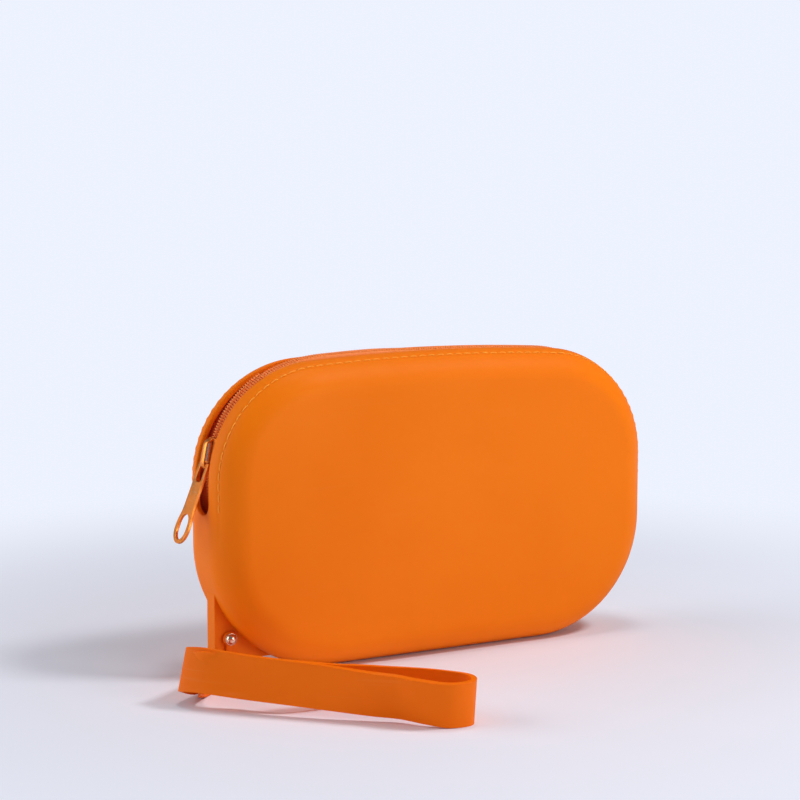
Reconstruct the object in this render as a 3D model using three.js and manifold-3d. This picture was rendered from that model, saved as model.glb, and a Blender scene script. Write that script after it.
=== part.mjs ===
// Silicone zip pouch with a corner lug and a riveted wrist strap.
// Millimetres, +Z up. The origin lies on the floor under the middle of the pouch.
// X runs along the width, +Y points to the back, and the zip runs round the top from side to side.

import * as THREE from 'three';
import { mergeVertices } from 'three/addons/utils/BufferGeometryUtils.js';
import Module from 'manifold-3d';

// Clearances
const SEAT_GAP = 0.3; // between pieces that rest on each other
const RUN_GAP = 0.2; // at each side of the slider's post
const SLIDER_PLAY = 1.3; // at each side of the slider in the mouth
const CUT_PAST = 1; // how far a cutting body runs past the wall that it cuts

// Pouch shell
const WIDTH = 170.8;
const HEIGHT = 106;
const DEPTH = 33;
const WALL = 2;
const EDGE_ROUND = 11.3; // rounding from the panels to the rim
const TOP_CORNER = 39.5;
const BOTTOM_CORNER = 43;
const TOP_CROWN = 1.5; // rise of the arched top edge between its corners
const MOUTH_DROP = 10.5; // how far the mouth runs down each side, below the top corners

// Zip chain
const COIL_ROW = 1.9; // width of one row of coil
const COIL_HEIGHT = 2.4;
const CHAIN_RADIUS = 37.9; // of the arc that the coil's crest follows round a top corner
const CHAIN_SINK = 1.6; // mean depth of that arc below the rim, of its side and its top
const CHAIN_SHIFT = 1.65; // of that arc from its mean depth, inwards and up
const CHAIN_DEEPEST = 4; // depth of the coil's crest below the rim, at its ends
const CHAIN_RISE = 0.7; // height of the coil's crest above the rim, on the left half of the top
const CHAIN_RAMP = 14; // length over which the chain leaves its corner arcs for the top
const TAPE_THICK = 0.6;
const TAPE_LAP = 7.2; // width of tape under the shell
const TAPE_TAIL = 6; // length of tape past each end of the mouth
const STOP_LENGTH = 2.4;

// Seam that holds the tapes
const SEAM_INSET = 5.3; // from the mouth's edge
const THREAD = 0.6;

// Slider and pull tab
const SLIDER_LENGTH = 11;
const SLIDER_ANGLE = 11.6; // degrees round the chain's arc, up from the side
const SLIDER_PLATE = 0.8;
const SLIDER_FLANGE = 0.9;
const FLANGE_DEPTH = 1.2;
const POST_WIDTH = 1.2;
const POST_LENGTH = 3;
const COVER_WIDTH = 3;
const COVER_WALL = 0.6;
const COVER_OVERHANG = 0.3; // from the cover's feet to the ends of the plate
const LOCK_LEAF = 0.5;
const LOCK_WIDTH = 2;
const LOCK_PIN = 0.8;
const PULL_LENGTH = 27.5; // pivot to tip
const PULL_WIDTH = 10.4; // across the ring at the tip
const PULL_NECK_WIDTH = 7.4;
const PULL_THICK = 1;
const PULL_BAR = 1;
const PULL_WINDOW_LENGTH = 5.6;
const PULL_ARM = 1.6;
const PULL_HOLE_WIDTH = 6.8;
const PULL_HOLE_LENGTH = 8.8;
const PULL_FLARE = 8.3; // length over which the plate widens to the ring
const PULL_TIP_RIM = 1.4;
const PULL_LEAN = 10.1; // degrees off the slider's plate at rest
const PIVOT_PLAY = 0.25;

// Lug and rivet
const LUG_THICK = 6;
const LUG_SIDE = 5; // rivet to the lug's side edge
const LUG_FOOT = 7.8; // rivet to the lug's lower edge
const LUG_CORNER = 2.5;
const RIVET_ANGLE = 221; // degrees round the bottom corner
const RIVET_STANDOFF = 3.6; // rivet axis to the shell
const RIVET_POST = 2.2;
const RIVET_HEAD = 4.2;
const RIVET_DOME = 1.5;
const COLLAR_THICK = 1.2;

// Wrist strap
const STRAP_WIDTH = 14;
const STRAP_THICK = 1.8;
const STRAP_TAPER = 28; // length over which each tail narrows
const STRAP_TAIL = 4.4; // width of each tail at the root
const STRAP_EYE = 4.6;
const STRAP_EYE_THICK = 1.6;
const STRAP_NECK = 2.2;
const STRAP_ROOT_WIDTH = 3.6;
const STRAP_LAYERS = 3.4; // spacing of the two layers where they run side by side
const STRAP_REACH = 92; // rivet to the far end of the loop, towards the front
const FOLD_LEAN = 2.7; // how far the top of the left fold leans in
const FOLD_REACH = 32; // distance from the fold at which the band stands straight
const FRONT_LEAN = 4.6; // how far the top of the loop's front run leans out
const FRONT_REACH = 30; // distance from the middle of the front run at which the band stands straight
const REAR_LEAN = 2; // how far the top of the loop's rear run leans in
const REAR_REACH = 30; // distance from the middle of the rear run at which the band stands straight

// Route of the strap's outer layer, from the rivet: across and towards the front, in hundredths of the
// strap's reach, and lift off the floor
const STRAP_ROUTE = [
  [-0.7, -1.7, 1.4], [-6.7, -6.5, 1.2], [-15, -15.8, 1], [-24.2, -23.4, 1.2],
  [-31.6, -29.9, 4.2], [-28.3, -38.6, 5.3], [-18.4, -49.1, 4.6], [-8.2, -59.7, 4],
  [4.1, -71.6, 3.1], [15.7, -81.1, 2.1], [23, -87.2, 1.7], [28.7, -95.7, 1.1],
  [34.3, -100, 0.3], [42.2, -99.8, 0], [44.9, -93.9, 0], [39.6, -84.8, 0],
  [28.9, -73, 0], [14.8, -60.4, 0],
];
const STRAP_FOLD = 4; // point of the route at the left fold
const STRAP_FRONT = 10; // point of the route at the middle of the loop's front run
const STRAP_REAR = 16; // point of the route at the middle of the rear run
const STRAP_INNER = [7, 6, 5, 3, 2, 1, 0]; // points of the route that the inner layer follows back

// Colours
const SILICONE = 0xe87a1c;
const TAPE_CLOTH = 0xd96a18;
const COIL_NYLON = 0xee7a34;
const COPPER_PLATE = 0xc9783f;
const STEEL = 0xcfc8c2;

// Counts of facets
const ARC_STEPS = 8;
const OUTLINE_STEPS = 6;
const ROUND_STEPS = 5;
const RUN_STEPS = 64;
const STRAP_STEPS = 96;
const DISC_STEPS = 14;

const wasm = await Module();
wasm.setup();

const radians = THREE.MathUtils.degToRad;
const lerp = THREE.MathUtils.lerp;

// Driven sizes of the outline: side, corner, crowned top, corner, side and flat base
const topCornerX = WIDTH / 2 - TOP_CORNER;
const crownRadius = topCornerX ** 2 / (2 * TOP_CROWN) + TOP_CORNER;
const crownCentreZ = HEIGHT - crownRadius;
const topCornerZ = crownCentreZ + Math.sqrt((crownRadius - TOP_CORNER) ** 2 - topCornerX ** 2);
const crownAngle = Math.asin(topCornerX / (crownRadius - TOP_CORNER));
const bottomCornerX = WIDTH / 2 - BOTTOM_CORNER;
const flatHalf = DEPTH / 2 - EDGE_ROUND;

// Driven sizes of the mouth and the chain, as half widths across Y
const postHalf = POST_WIDTH / 2;
const chainInner = postHalf + RUN_GAP;
const chainHalf = chainInner + COIL_ROW;
const flangeInner = chainHalf + SEAT_GAP;
const sliderHalf = flangeInner + SLIDER_FLANGE;
const mouthHalf = sliderHalf + SLIDER_PLAY;
const seamY = mouthHalf + SEAM_INSET;
const tapeOuter = mouthHalf + TAPE_LAP;

// Centre of the chain's arc at each top corner
const chainX = topCornerX + TOP_CORNER - CHAIN_SINK - CHAIN_SHIFT - CHAIN_RADIUS;
const chainZ = topCornerZ + TOP_CORNER - CHAIN_SINK + CHAIN_SHIFT - CHAIN_RADIUS;

// Lengths along the rim, counted from the middle of the top
const crownRun = crownRadius * crownAngle;
const cornerRun = TOP_CORNER * (Math.PI / 2 - crownAngle);
const mouthRun = crownRun + cornerRun + MOUTH_DROP;
const tapeRun = mouthRun + TAPE_TAIL;
const coilRun = mouthRun - SEAT_GAP - STOP_LENGTH - SEAT_GAP;

// Place of the rivet, and of the lug's front face
const rivetX = -bottomCornerX + (BOTTOM_CORNER + RIVET_STANDOFF) * Math.cos(radians(RIVET_ANGLE));
const rivetZ = BOTTOM_CORNER + (BOTTOM_CORNER + RIVET_STANDOFF) * Math.sin(radians(RIVET_ANGLE));
const lugFront = -LUG_THICK / 2;
const rivetHole = RIVET_POST + 2 * SEAT_GAP;

// A mesh with shared vertices only
function welded(geometry) {
  const plain = geometry.index ? geometry.clone() : mergeVertices(geometry);
  plain.deleteAttribute('normal');
  plain.deleteAttribute('uv');
  return mergeVertices(plain);
}

function solid(geometry) {
  const plain = welded(geometry);
  return new wasm.Manifold(new wasm.Mesh({
    numProp: 3,
    vertProperties: new Float32Array(plain.attributes.position.array),
    triVerts: new Uint32Array(plain.index.array),
  }));
}

function fromSolid(body) {
  const mesh = body.getMesh();
  const geometry = new THREE.BufferGeometry();
  geometry.setAttribute('position', new THREE.BufferAttribute(mesh.vertProperties, 3));
  geometry.setIndex(new THREE.BufferAttribute(mesh.triVerts, 1));
  geometry.computeVertexNormals();
  return geometry;
}

// A slab whose length, width and thickness, each from 0 to 1, are put in place by a function
function slab(lengthSteps, widthSteps, place) {
  const geometry = new THREE.BoxGeometry(1, 1, 1, lengthSteps, widthSteps, 1);
  const position = geometry.attributes.position;
  for (let i = 0; i < position.count; i += 1) {
    const point = place(position.getX(i) + 0.5, position.getY(i) + 0.5, position.getZ(i) + 0.5);
    position.setXYZ(i, point.x, point.y, point.z);
  }
  const plain = welded(geometry);
  plain.computeVertexNormals();
  return plain;
}

function block(x0, x1, y0, y1, z0, z1) {
  const geometry = new THREE.BoxGeometry(x1 - x0, y1 - y0, z1 - z0);
  return geometry.translate((x0 + x1) / 2, (y0 + y1) / 2, (z0 + z1) / 2);
}

// A shape drawn in X and Z, given a thickness across Y
function plateAcross(shape, y0, y1, curveSegments = ARC_STEPS) {
  const geometry = new THREE.ExtrudeGeometry(shape, { depth: y1 - y0, bevelEnabled: false, curveSegments });
  return geometry.rotateX(Math.PI / 2).translate(0, y1, 0);
}

// A round profile of radius and height, turned about the Y axis through a point
function turned(profile, x, z) {
  const points = profile.map(([r, y]) => new THREE.Vector2(r, y));
  return new THREE.LatheGeometry(points, DISC_STEPS).translate(x, 0, z);
}

// A round plug on the rivet's axis
function rivetPlug(radius, y0, y1) {
  return turned([[0, y0], [radius, y0], [radius, y1], [0, y1]], rivetX, rivetZ);
}

// Outline of the pouch, seen from the front, drawn inside the outer face by an inset
function outlineShape(inset) {
  const shape = new THREE.Shape();
  const top = TOP_CORNER - inset;
  const bottom = BOTTOM_CORNER - inset;
  const quarter = Math.PI / 2;
  shape.absarc(bottomCornerX, BOTTOM_CORNER, bottom, -quarter, 0);
  shape.absarc(topCornerX, topCornerZ, top, 0, quarter - crownAngle);
  shape.absarc(0, crownCentreZ, crownRadius - inset, quarter - crownAngle, quarter + crownAngle);
  shape.absarc(-topCornerX, topCornerZ, top, quarter + crownAngle, 2 * quarter);
  shape.absarc(-bottomCornerX, BOTTOM_CORNER, bottom, 2 * quarter, 3 * quarter);
  shape.closePath();
  return shape;
}

// A pillow-edged body inside the pouch's outer face by an inset
function pouchBody(inset) {
  const round = EDGE_ROUND - inset;
  const geometry = new THREE.ExtrudeGeometry(outlineShape(inset), {
    depth: 2 * flatHalf,
    bevelSize: round,
    bevelOffset: -round,
    bevelThickness: round,
    bevelSegments: ROUND_STEPS,
    curveSegments: OUTLINE_STEPS,
  });
  return geometry.rotateX(Math.PI / 2).translate(0, flatHalf, 0);
}

// Point and outward direction on an arc of the rim, at an angle from the vertical
function rimArc(side, centreX, centreZ, radius, angle) {
  const nx = side * Math.sin(angle);
  const nz = Math.cos(angle);
  return { x: side * centreX + radius * nx, z: centreZ + radius * nz, nx, nz };
}

// Point and outward direction of the rim at a length along it
function rimFrame(run) {
  const side = Math.sign(run) || 1;
  const length = Math.abs(run);
  if (length <= crownRun) {
    return rimArc(side, 0, crownCentreZ, crownRadius, length / crownRadius);
  }
  if (length <= crownRun + cornerRun) {
    const angle = crownAngle + (length - crownRun) / TOP_CORNER;
    return rimArc(side, topCornerX, topCornerZ, TOP_CORNER, angle);
  }
  return { x: side * WIDTH / 2, z: topCornerZ - (length - crownRun - cornerRun), nx: side, nz: 0 };
}

// Point at a length along the rim, a distance across it, and a depth below it
function rimPoint(run, y, depth) {
  const at = rimFrame(run);
  return new THREE.Vector3(at.x - at.nx * depth, y, at.z - at.nz * depth);
}

// Depth of a rounded face below the rim's crest, at a distance across it
function faceDrop(y, round) {
  const past = Math.max(Math.abs(y) - flatHalf, 0);
  return round - Math.sqrt(Math.max(round ** 2 - past ** 2, 0));
}

// Depth of the chain's corner arc below the rim
function arcDepth(run) {
  const { x, z, nx, nz } = rimFrame(run);
  const dx = x - Math.sign(x) * chainX;
  const dz = z - chainZ;
  const reach = dx * nx + dz * nz;
  const within = Math.max(reach ** 2 - dx ** 2 - dz ** 2 + CHAIN_RADIUS ** 2, 0);
  return Math.min(reach - Math.sqrt(within), CHAIN_DEEPEST);
}

// Depth of the coil's crest: on its arcs round the corners, level on top, and proud on the left half
function crestDepth(run) {
  const share = THREE.MathUtils.smoothstep(crownRun + CHAIN_RAMP / 2 - Math.abs(run), 0, CHAIN_RAMP);
  const rise = CHAIN_RISE * THREE.MathUtils.smoothstep(-run, 0, crownRun / 2);
  return lerp(arcDepth(run), -rise, share);
}

// A strip along the rim between two lengths, two widths across and two depths
function rimStrip(run0, run1, y0, y1, outer, inner, widthSteps = 1, lengthSteps = RUN_STEPS) {
  return slab(lengthSteps, widthSteps, (u, v, w) => {
    const run = lerp(run0, run1, u);
    const y = lerp(y0, y1, v);
    return rimPoint(run, y, lerp(inner(run, y), outer(run, y), w));
  });
}

// Corner plate that carries the strap, grown out of the shell's wall
function lugPlate() {
  const root = BOTTOM_CORNER - WALL / 2;
  const sideX = rivetX - LUG_SIDE;
  const footZ = rivetZ - LUG_FOOT;
  const upper = Math.PI + Math.acos((-bottomCornerX - sideX) / root);
  const lower = Math.PI + Math.asin((BOTTOM_CORNER - footZ) / root);
  const shape = new THREE.Shape();
  shape.absarc(sideX + LUG_CORNER, footZ + LUG_CORNER, LUG_CORNER, 1.5 * Math.PI, Math.PI, true);
  shape.absarc(-bottomCornerX, BOTTOM_CORNER, root, upper, lower);
  shape.closePath();
  return plateAcross(shape, lugFront, -lugFront);
}

// One moulding: both panels, the rim, the lug, the mouth and the seam's two channels
function pouchShell() {
  const mouth = rimStrip(-mouthRun, mouthRun, -mouthHalf, mouthHalf, () => -CUT_PAST, () => WALL + CUT_PAST);
  const hole = rivetPlug(rivetHole / 2, -LUG_THICK, LUG_THICK);
  let shell = solid(pouchBody(0)).add(solid(lugPlate())).subtract(solid(pouchBody(WALL)));
  shell = shell.subtract(solid(mouth)).subtract(solid(hole));
  for (const side of [-1, 1]) {
    shell = shell.subtract(solid(seamStrip(side, SEAT_GAP, CUT_PAST)));
  }
  return fromSolid(shell);
}

// The seam's line, as a strip of thread or, with a margin, as the channel that it lies in
function seamStrip(side, margin, proud) {
  const half = THREAD / 2 + margin;
  const face = faceDrop(seamY, EDGE_ROUND);
  const run = mouthRun + margin;
  return rimStrip(-run, run, side * seamY - half, side * seamY + half,
    () => face - proud, () => face + THREAD + margin);
}

function tapeStrip(side) {
  const top = (run, y) => {
    const across = Math.abs(y);
    const seat = WALL + faceDrop(y, EDGE_ROUND - WALL) + SEAT_GAP;
    const base = crestDepth(run) + COIL_HEIGHT + SEAT_GAP;
    const share = THREE.MathUtils.clamp((across - chainHalf) / (seamY - chainHalf), 0, 1);
    return across <= chainHalf ? base : Math.max(lerp(base, seat, share), seat);
  };
  const y = [side * chainInner, side * tapeOuter].sort((a, b) => a - b);
  return rimStrip(-tapeRun, tapeRun, y[0], y[1], top, (run, across) => top(run, across) + TAPE_THICK, 6);
}

function coilRow(side) {
  const y = [side * chainInner, side * chainHalf].sort((a, b) => a - b);
  return rimStrip(-coilRun, coilRun, y[0], y[1], crestDepth, (run) => crestDepth(run) + COIL_HEIGHT);
}

function endStop(side) {
  const outerEnd = mouthRun - SEAT_GAP;
  const run = [side * outerEnd, side * (outerEnd - STOP_LENGTH)].sort((a, b) => a - b);
  const base = (at) => crestDepth(at) + COIL_HEIGHT;
  return rimStrip(run[0], run[1], -chainHalf, chainHalf, crestDepth, base, 1, 1);
}

// Slider frame: X up along the chain, Z outwards, with the coil's crest at Z = 0
const sliderSag = SLIDER_LENGTH ** 2 / (8 * CHAIN_RADIUS);
const plateLow = SEAT_GAP;
const plateTop = plateLow + SLIDER_PLATE;
const underTop = -(COIL_HEIGHT + SEAT_GAP + TAPE_THICK + SEAT_GAP + sliderSag);
const sliderEnd = SLIDER_LENGTH / 2;
const barReach = Math.hypot(PULL_BAR, PULL_THICK) / 2;
const coverFoot = plateTop + SEAT_GAP;
const pivotZ = plateTop + PIVOT_PLAY + barReach;
const coverRoof = pivotZ + barReach + PIVOT_PLAY;
const coverEnd = sliderEnd - COVER_OVERHANG;
const pivotX = -(coverEnd - COVER_WALL - PIVOT_PLAY - barReach);
const lockX = coverEnd - COVER_WALL - SEAT_GAP;
const lockStart = pivotX + barReach + PIVOT_PLAY + SEAT_GAP;
const pinX = (lockStart + lockX) / 2;

function sliderBody() {
  const topPlate = block(-sliderEnd, sliderEnd, -sliderHalf, sliderHalf, plateLow, plateTop);
  const underPlate = block(-sliderEnd, sliderEnd, -sliderHalf, sliderHalf, underTop - SLIDER_PLATE, underTop);
  const post = block(-sliderEnd, -sliderEnd + POST_LENGTH, -postHalf, postHalf,
    underTop - SLIDER_PLATE / 2, plateTop - SLIDER_PLATE / 2);
  let body = solid(topPlate).add(solid(underPlate)).add(solid(post));
  for (const side of [-1, 1]) {
    const y = [side * flangeInner, side * sliderHalf].sort((a, b) => a - b);
    body = body.add(solid(block(-sliderEnd, sliderEnd, y[0], y[1], -FLANGE_DEPTH, plateTop)));
  }
  const pinHalf = LOCK_PIN / 2 + SEAT_GAP;
  return fromSolid(body.subtract(solid(block(pinX - pinHalf, pinX + pinHalf, -pinHalf, pinHalf,
    plateLow - CUT_PAST, plateTop + CUT_PAST))));
}

// Arched cover over the pull's bar and the lock
function sliderCover() {
  const shape = new THREE.Shape();
  const roof = coverRoof + COVER_WALL;
  const inner = coverEnd - COVER_WALL;
  const bend = roof - coverFoot;
  shape.moveTo(-coverEnd, coverFoot);
  shape.quadraticCurveTo(-coverEnd, roof, -coverEnd + bend, roof);
  shape.lineTo(coverEnd - bend, roof);
  shape.quadraticCurveTo(coverEnd, roof, coverEnd, coverFoot);
  shape.lineTo(inner, coverFoot);
  shape.quadraticCurveTo(inner, coverRoof, inner - COVER_WALL, coverRoof);
  shape.lineTo(-inner + COVER_WALL, coverRoof);
  shape.quadraticCurveTo(-inner, coverRoof, -inner, coverFoot);
  shape.closePath();
  return plateAcross(shape, -COVER_WIDTH / 2, COVER_WIDTH / 2, 4);
}

// Spring leaf with a pin that drops between the coil's turns
function lockSpring() {
  const leafLow = plateTop + SEAT_GAP;
  const leaf = block(lockStart, lockX, -LOCK_WIDTH / 2, LOCK_WIDTH / 2, leafLow, leafLow + LOCK_LEAF);
  const pin = block(pinX - LOCK_PIN / 2, pinX + LOCK_PIN / 2, -LOCK_PIN / 2, LOCK_PIN / 2,
    SEAT_GAP, leafLow + LOCK_LEAF / 2);
  return fromSolid(solid(leaf).add(solid(pin)));
}

// Pull tab from its bar at the origin to its tip along -X
function pullTab() {
  const tip = PULL_WIDTH / 2;
  const neck = PULL_NECK_WIDTH / 2;
  const bar = PULL_BAR / 2;
  const shape = new THREE.Shape();
  shape.moveTo(bar, -neck);
  shape.lineTo(bar, neck);
  const ring = -PULL_LENGTH + tip;
  const flare = ring + PULL_FLARE;
  const bend = ring + PULL_FLARE / 2;
  shape.lineTo(flare, neck);
  shape.bezierCurveTo(bend, neck, bend, tip, ring, tip);
  shape.absarc(ring, 0, tip, Math.PI / 2, 1.5 * Math.PI);
  shape.bezierCurveTo(bend, -tip, bend, -neck, flare, -neck);
  shape.closePath();
  const armInner = neck - PULL_ARM;
  const window = new THREE.Path();
  window.moveTo(-bar, -armInner);
  window.lineTo(-bar - PULL_WINDOW_LENGTH, -armInner);
  window.lineTo(-bar - PULL_WINDOW_LENGTH, armInner);
  window.lineTo(-bar, armInner);
  window.closePath();
  const eye = new THREE.Path();
  const eyeRound = PULL_HOLE_WIDTH / 2;
  const eyeLow = -PULL_LENGTH + PULL_TIP_RIM + eyeRound;
  const eyeHigh = eyeLow + PULL_HOLE_LENGTH - PULL_HOLE_WIDTH;
  eye.absarc(eyeHigh, 0, eyeRound, -Math.PI / 2, Math.PI / 2);
  eye.absarc(eyeLow, 0, eyeRound, Math.PI / 2, 1.5 * Math.PI);
  eye.closePath();
  shape.holes.push(window, eye);
  const settings = { depth: PULL_THICK, bevelEnabled: false, curveSegments: ARC_STEPS };
  return welded(new THREE.ExtrudeGeometry(shape, settings).translate(0, 0, -PULL_THICK / 2));
}

// Rivet: domed head in front of the strap's eye, and a post through the lug
const eyeBack = lugFront - SEAT_GAP;
const eyeFront = eyeBack - STRAP_EYE_THICK;
const headBack = eyeFront - SEAT_GAP;
const collarFront = -lugFront + SEAT_GAP;

function strapRivet() {
  const head = RIVET_HEAD / 2;
  const profile = [[0, headBack - RIVET_DOME]];
  for (let i = 1; i < ROUND_STEPS; i += 1) {
    const angle = (i / ROUND_STEPS) * Math.PI / 2;
    profile.push([head * Math.sin(angle), headBack - RIVET_DOME * Math.cos(angle)]);
  }
  const post = RIVET_POST / 2;
  const postEnd = collarFront + COLLAR_THICK;
  profile.push([head, headBack], [post, headBack], [post, postEnd], [0, postEnd]);
  return turned(profile, rivetX, rivetZ);
}

function rivetCollar() {
  const inner = rivetHole / 2;
  const outer = RIVET_HEAD / 2;
  const back = collarFront + COLLAR_THICK;
  const front = collarFront;
  const profile = [[inner, front], [outer, front], [outer, back], [inner, back], [inner, front]];
  return turned(profile, rivetX, rivetZ);
}

// Strap: one band in two layers, folded at the left, with its tails joined under the rivet
function strapRoute() {
  const share = STRAP_REACH / 100;
  const outer = STRAP_ROUTE.map(([across, ahead, lift]) => (
    new THREE.Vector3(rivetX + across * share, lugFront + ahead * share, lift)));
  const curve = new THREE.CatmullRomCurve3(outer, false, 'centripetal');
  const inner = [];
  for (const index of STRAP_INNER) {
    const tangent = curve.getTangent(index / (outer.length - 1));
    const inward = new THREE.Vector3(-tangent.y, tangent.x, 0).normalize();
    inner.push(outer[index].clone().addScaledVector(inward, STRAP_LAYERS));
  }
  return new THREE.CatmullRomCurve3([...outer, ...inner], false, 'centripetal');
}

// How far the band's top leans in at a point of its route
function strapLean(route, at) {
  const fromFold = at.distanceTo(route.points[STRAP_FOLD]);
  const fromFront = at.distanceTo(route.points[STRAP_FRONT]);
  const fromRear = at.distanceTo(route.points[STRAP_REAR]);
  return FOLD_LEAN * (1 - THREE.MathUtils.smoothstep(fromFold, 0, FOLD_REACH))
    - FRONT_LEAN * (1 - THREE.MathUtils.smoothstep(fromFront, 0, FRONT_REACH))
    + REAR_LEAN * (1 - THREE.MathUtils.smoothstep(fromRear, 0, REAR_REACH));
}

function strapBand() {
  const route = strapRoute();
  const length = route.getLength();
  const band = slab(STRAP_STEPS, 1, (u, v, w) => {
    const at = route.getPointAt(u);
    const tangent = route.getTangentAt(u).setZ(0).normalize();
    const aside = new THREE.Vector3(-tangent.y, tangent.x, 0);
    const toEnd = Math.min(u, 1 - u) * length;
    const height = lerp(STRAP_TAIL, STRAP_WIDTH, THREE.MathUtils.smoothstep(toEnd, 0, STRAP_TAPER));
    const lean = strapLean(route, at);
    return at.addScaledVector(aside, (v - 0.5) * STRAP_THICK + w * lean).setZ(Math.max(at.z, 0) + w * height);
  });
  const end = route.getPoint(1);
  const rootHalf = STRAP_ROOT_WIDTH / 2;
  const neckHalf = STRAP_NECK / 2;
  const rootFront = end.y - STRAP_THICK;
  const root = block(rivetX - rootHalf, rivetX + rootHalf, rootFront, eyeBack, SEAT_GAP, STRAP_TAIL);
  const neck = block(rivetX - neckHalf, rivetX + neckHalf, eyeFront, eyeBack, SEAT_GAP, rivetZ);
  const eye = rivetPlug(STRAP_EYE / 2, eyeFront, eyeBack);
  const hole = rivetPlug(rivetHole / 2, eyeFront - CUT_PAST, eyeBack + CUT_PAST);
  return fromSolid(solid(band).add(solid(root)).add(solid(neck)).add(solid(eye)).subtract(solid(hole)));
}

function finish(color, roughness, metalness) {
  return new THREE.MeshStandardMaterial({ color, roughness, metalness });
}

const silicone = finish(SILICONE, 0.62, 0);
const cloth = finish(TAPE_CLOTH, 0.9, 0);
const nylon = finish(COIL_NYLON, 0.45, 0);
const copper = finish(COPPER_PLATE, 0.3, 1);
const steel = finish(STEEL, 0.2, 1);

function piece(name, geometry, material) {
  const mesh = new THREE.Mesh(geometry, material);
  mesh.name = name;
  return mesh;
}

const pouch = new THREE.Group();
pouch.add(piece('pouch_shell', pouchShell(), silicone));
for (const [word, side] of [['front', -1], ['rear', 1]]) {
  pouch.add(piece(`zip_tape_${word}`, tapeStrip(side), cloth));
  pouch.add(piece(`zip_coil_${word}`, coilRow(side), nylon));
  pouch.add(piece(`seam_thread_${word}`, seamStrip(side, 0, 0), cloth));
}
for (const [word, side] of [['left', -1], ['right', 1]]) {
  pouch.add(piece(`zip_stop_${word}`, endStop(side), copper));
}

const slider = new THREE.Group();
const sliderAngle = radians(SLIDER_ANGLE);
slider.position.set(-chainX - CHAIN_RADIUS * Math.cos(sliderAngle), 0,
  chainZ + CHAIN_RADIUS * Math.sin(sliderAngle));
slider.rotation.y = sliderAngle - Math.PI / 2;
slider.add(piece('slider_body', sliderBody(), copper));
slider.add(piece('slider_cover', sliderCover(), copper));
slider.add(piece('slider_lock_spring', lockSpring(), steel));

const pull = new THREE.Group();
pull.position.set(pivotX, 0, pivotZ);
pull.rotation.y = radians(PULL_LEAN);
pull.add(piece('pull_tab', pullTab(), copper));
slider.add(pull);
pouch.add(slider);

pouch.add(piece('strap_rivet', strapRivet(), steel));
pouch.add(piece('rivet_collar', rivetCollar(), steel));
pouch.add(piece('wrist_strap', strapBand(), silicone));

export default pouch;
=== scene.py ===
"""Silicone zip pouch: moulded shell with a corner lug, coil zip, slider with its pull, and wrist strap."""

import math

import bmesh
import bpy
from bmesh.types import BMEdge, BMVert
from bpy.props import FloatProperty, FloatVectorProperty, PointerProperty
from bpy.types import NodeSocket, Operator, Panel, PropertyGroup
from mathutils import Matrix, Vector
from mathutils.geometry import interpolate_bezier


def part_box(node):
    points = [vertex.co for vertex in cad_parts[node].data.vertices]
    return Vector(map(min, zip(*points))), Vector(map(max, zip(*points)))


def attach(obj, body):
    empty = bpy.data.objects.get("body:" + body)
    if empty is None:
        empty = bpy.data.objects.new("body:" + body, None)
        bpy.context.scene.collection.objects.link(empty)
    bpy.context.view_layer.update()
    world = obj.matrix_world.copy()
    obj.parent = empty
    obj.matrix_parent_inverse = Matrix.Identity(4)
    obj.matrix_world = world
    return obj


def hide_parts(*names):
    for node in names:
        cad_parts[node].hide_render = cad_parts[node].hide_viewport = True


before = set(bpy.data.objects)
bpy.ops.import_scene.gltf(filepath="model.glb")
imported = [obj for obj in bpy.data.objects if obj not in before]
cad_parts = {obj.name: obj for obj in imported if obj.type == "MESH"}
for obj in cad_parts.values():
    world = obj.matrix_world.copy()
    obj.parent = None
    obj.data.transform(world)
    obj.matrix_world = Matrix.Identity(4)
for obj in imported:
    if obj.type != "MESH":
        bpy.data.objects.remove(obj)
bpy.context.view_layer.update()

bl_info = {
    "name": "Silicone zip pouch",
    "version": (1, 0, 0),
    "blender": (4, 5, 0),
    "location": "3D View > Sidebar > Pouch",
    "description": "Builds a silicone zip pouch with its zip, slider, pull and wrist strap",
    "category": "Object",
}

MM = 0.001
NEAR = 1e-6
ORIGIN = (0.0, 0.0, 0.0)
RIM_AXIS = (0.0, -1.0, 0.0)
ALONG = (1.0, 0.0, 0.0)
ACROSS = Vector((0.0, 1.0, 0.0))
UP = Vector((0.0, 0.0, 1.0))
QUARTER = math.pi / 2
ROUND = 2.0 * math.pi
LAY_FLAT = Matrix.Rotation(-QUARTER, 4, "X")
SIDES = (("front", -1.0), ("rear", 1.0))
ENDS = (("left", -1.0), ("right", 1.0))

# Where a wall's thickness lies: all inside its surface, or half on each side
INWARD = -1.0
CENTRED = 0.0

# Divisions of the shell
CORNER_STEPS = 26
CROWN_STEPS = 24
ROUND_STEPS = 26
MOUTH_CUTS = 12
PANEL_RINGS = 3
LUG_STEPS = 20

# A face with more sides than this is one of the two flat panels
STRIP_SIDES = 8

# Divisions of the zip, slider, pull and rivet
RUN_STEPS = 180
TAPE_ROWS = 9
CORE_ROWS = 6
WIRE_SIDES = 6
WIRE_STEPS = 5
PLATE_CORNER_STEPS = 5
RING_STEPS = 24
HOLE_STEPS = 18
TURNED_STEPS = 32
DOME_STEPS = 8

# Divisions of the strap and its eye
STRAP_POINTS = 260
STRAP_ROWS = 6
SPAN_STEPS = 14
EYE_STEPS = 28

# Divisions of plain arcs, rounded edges and the floor
ARC_STEPS = 8
EDGE_STEPS = 3
TURNED_EDGE_STEPS = 2
FLOOR_CELLS = 8

# Angles in degrees past which an edge is rounded
EDGE_LIMIT = 60.0
LIP_LIMIT = 70.0
TURNED_LIMIT = 50.0

# How near a vertex of the seam's channel lies to the channel's line
SEAM_NEAR = 0.1 * MM

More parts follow.
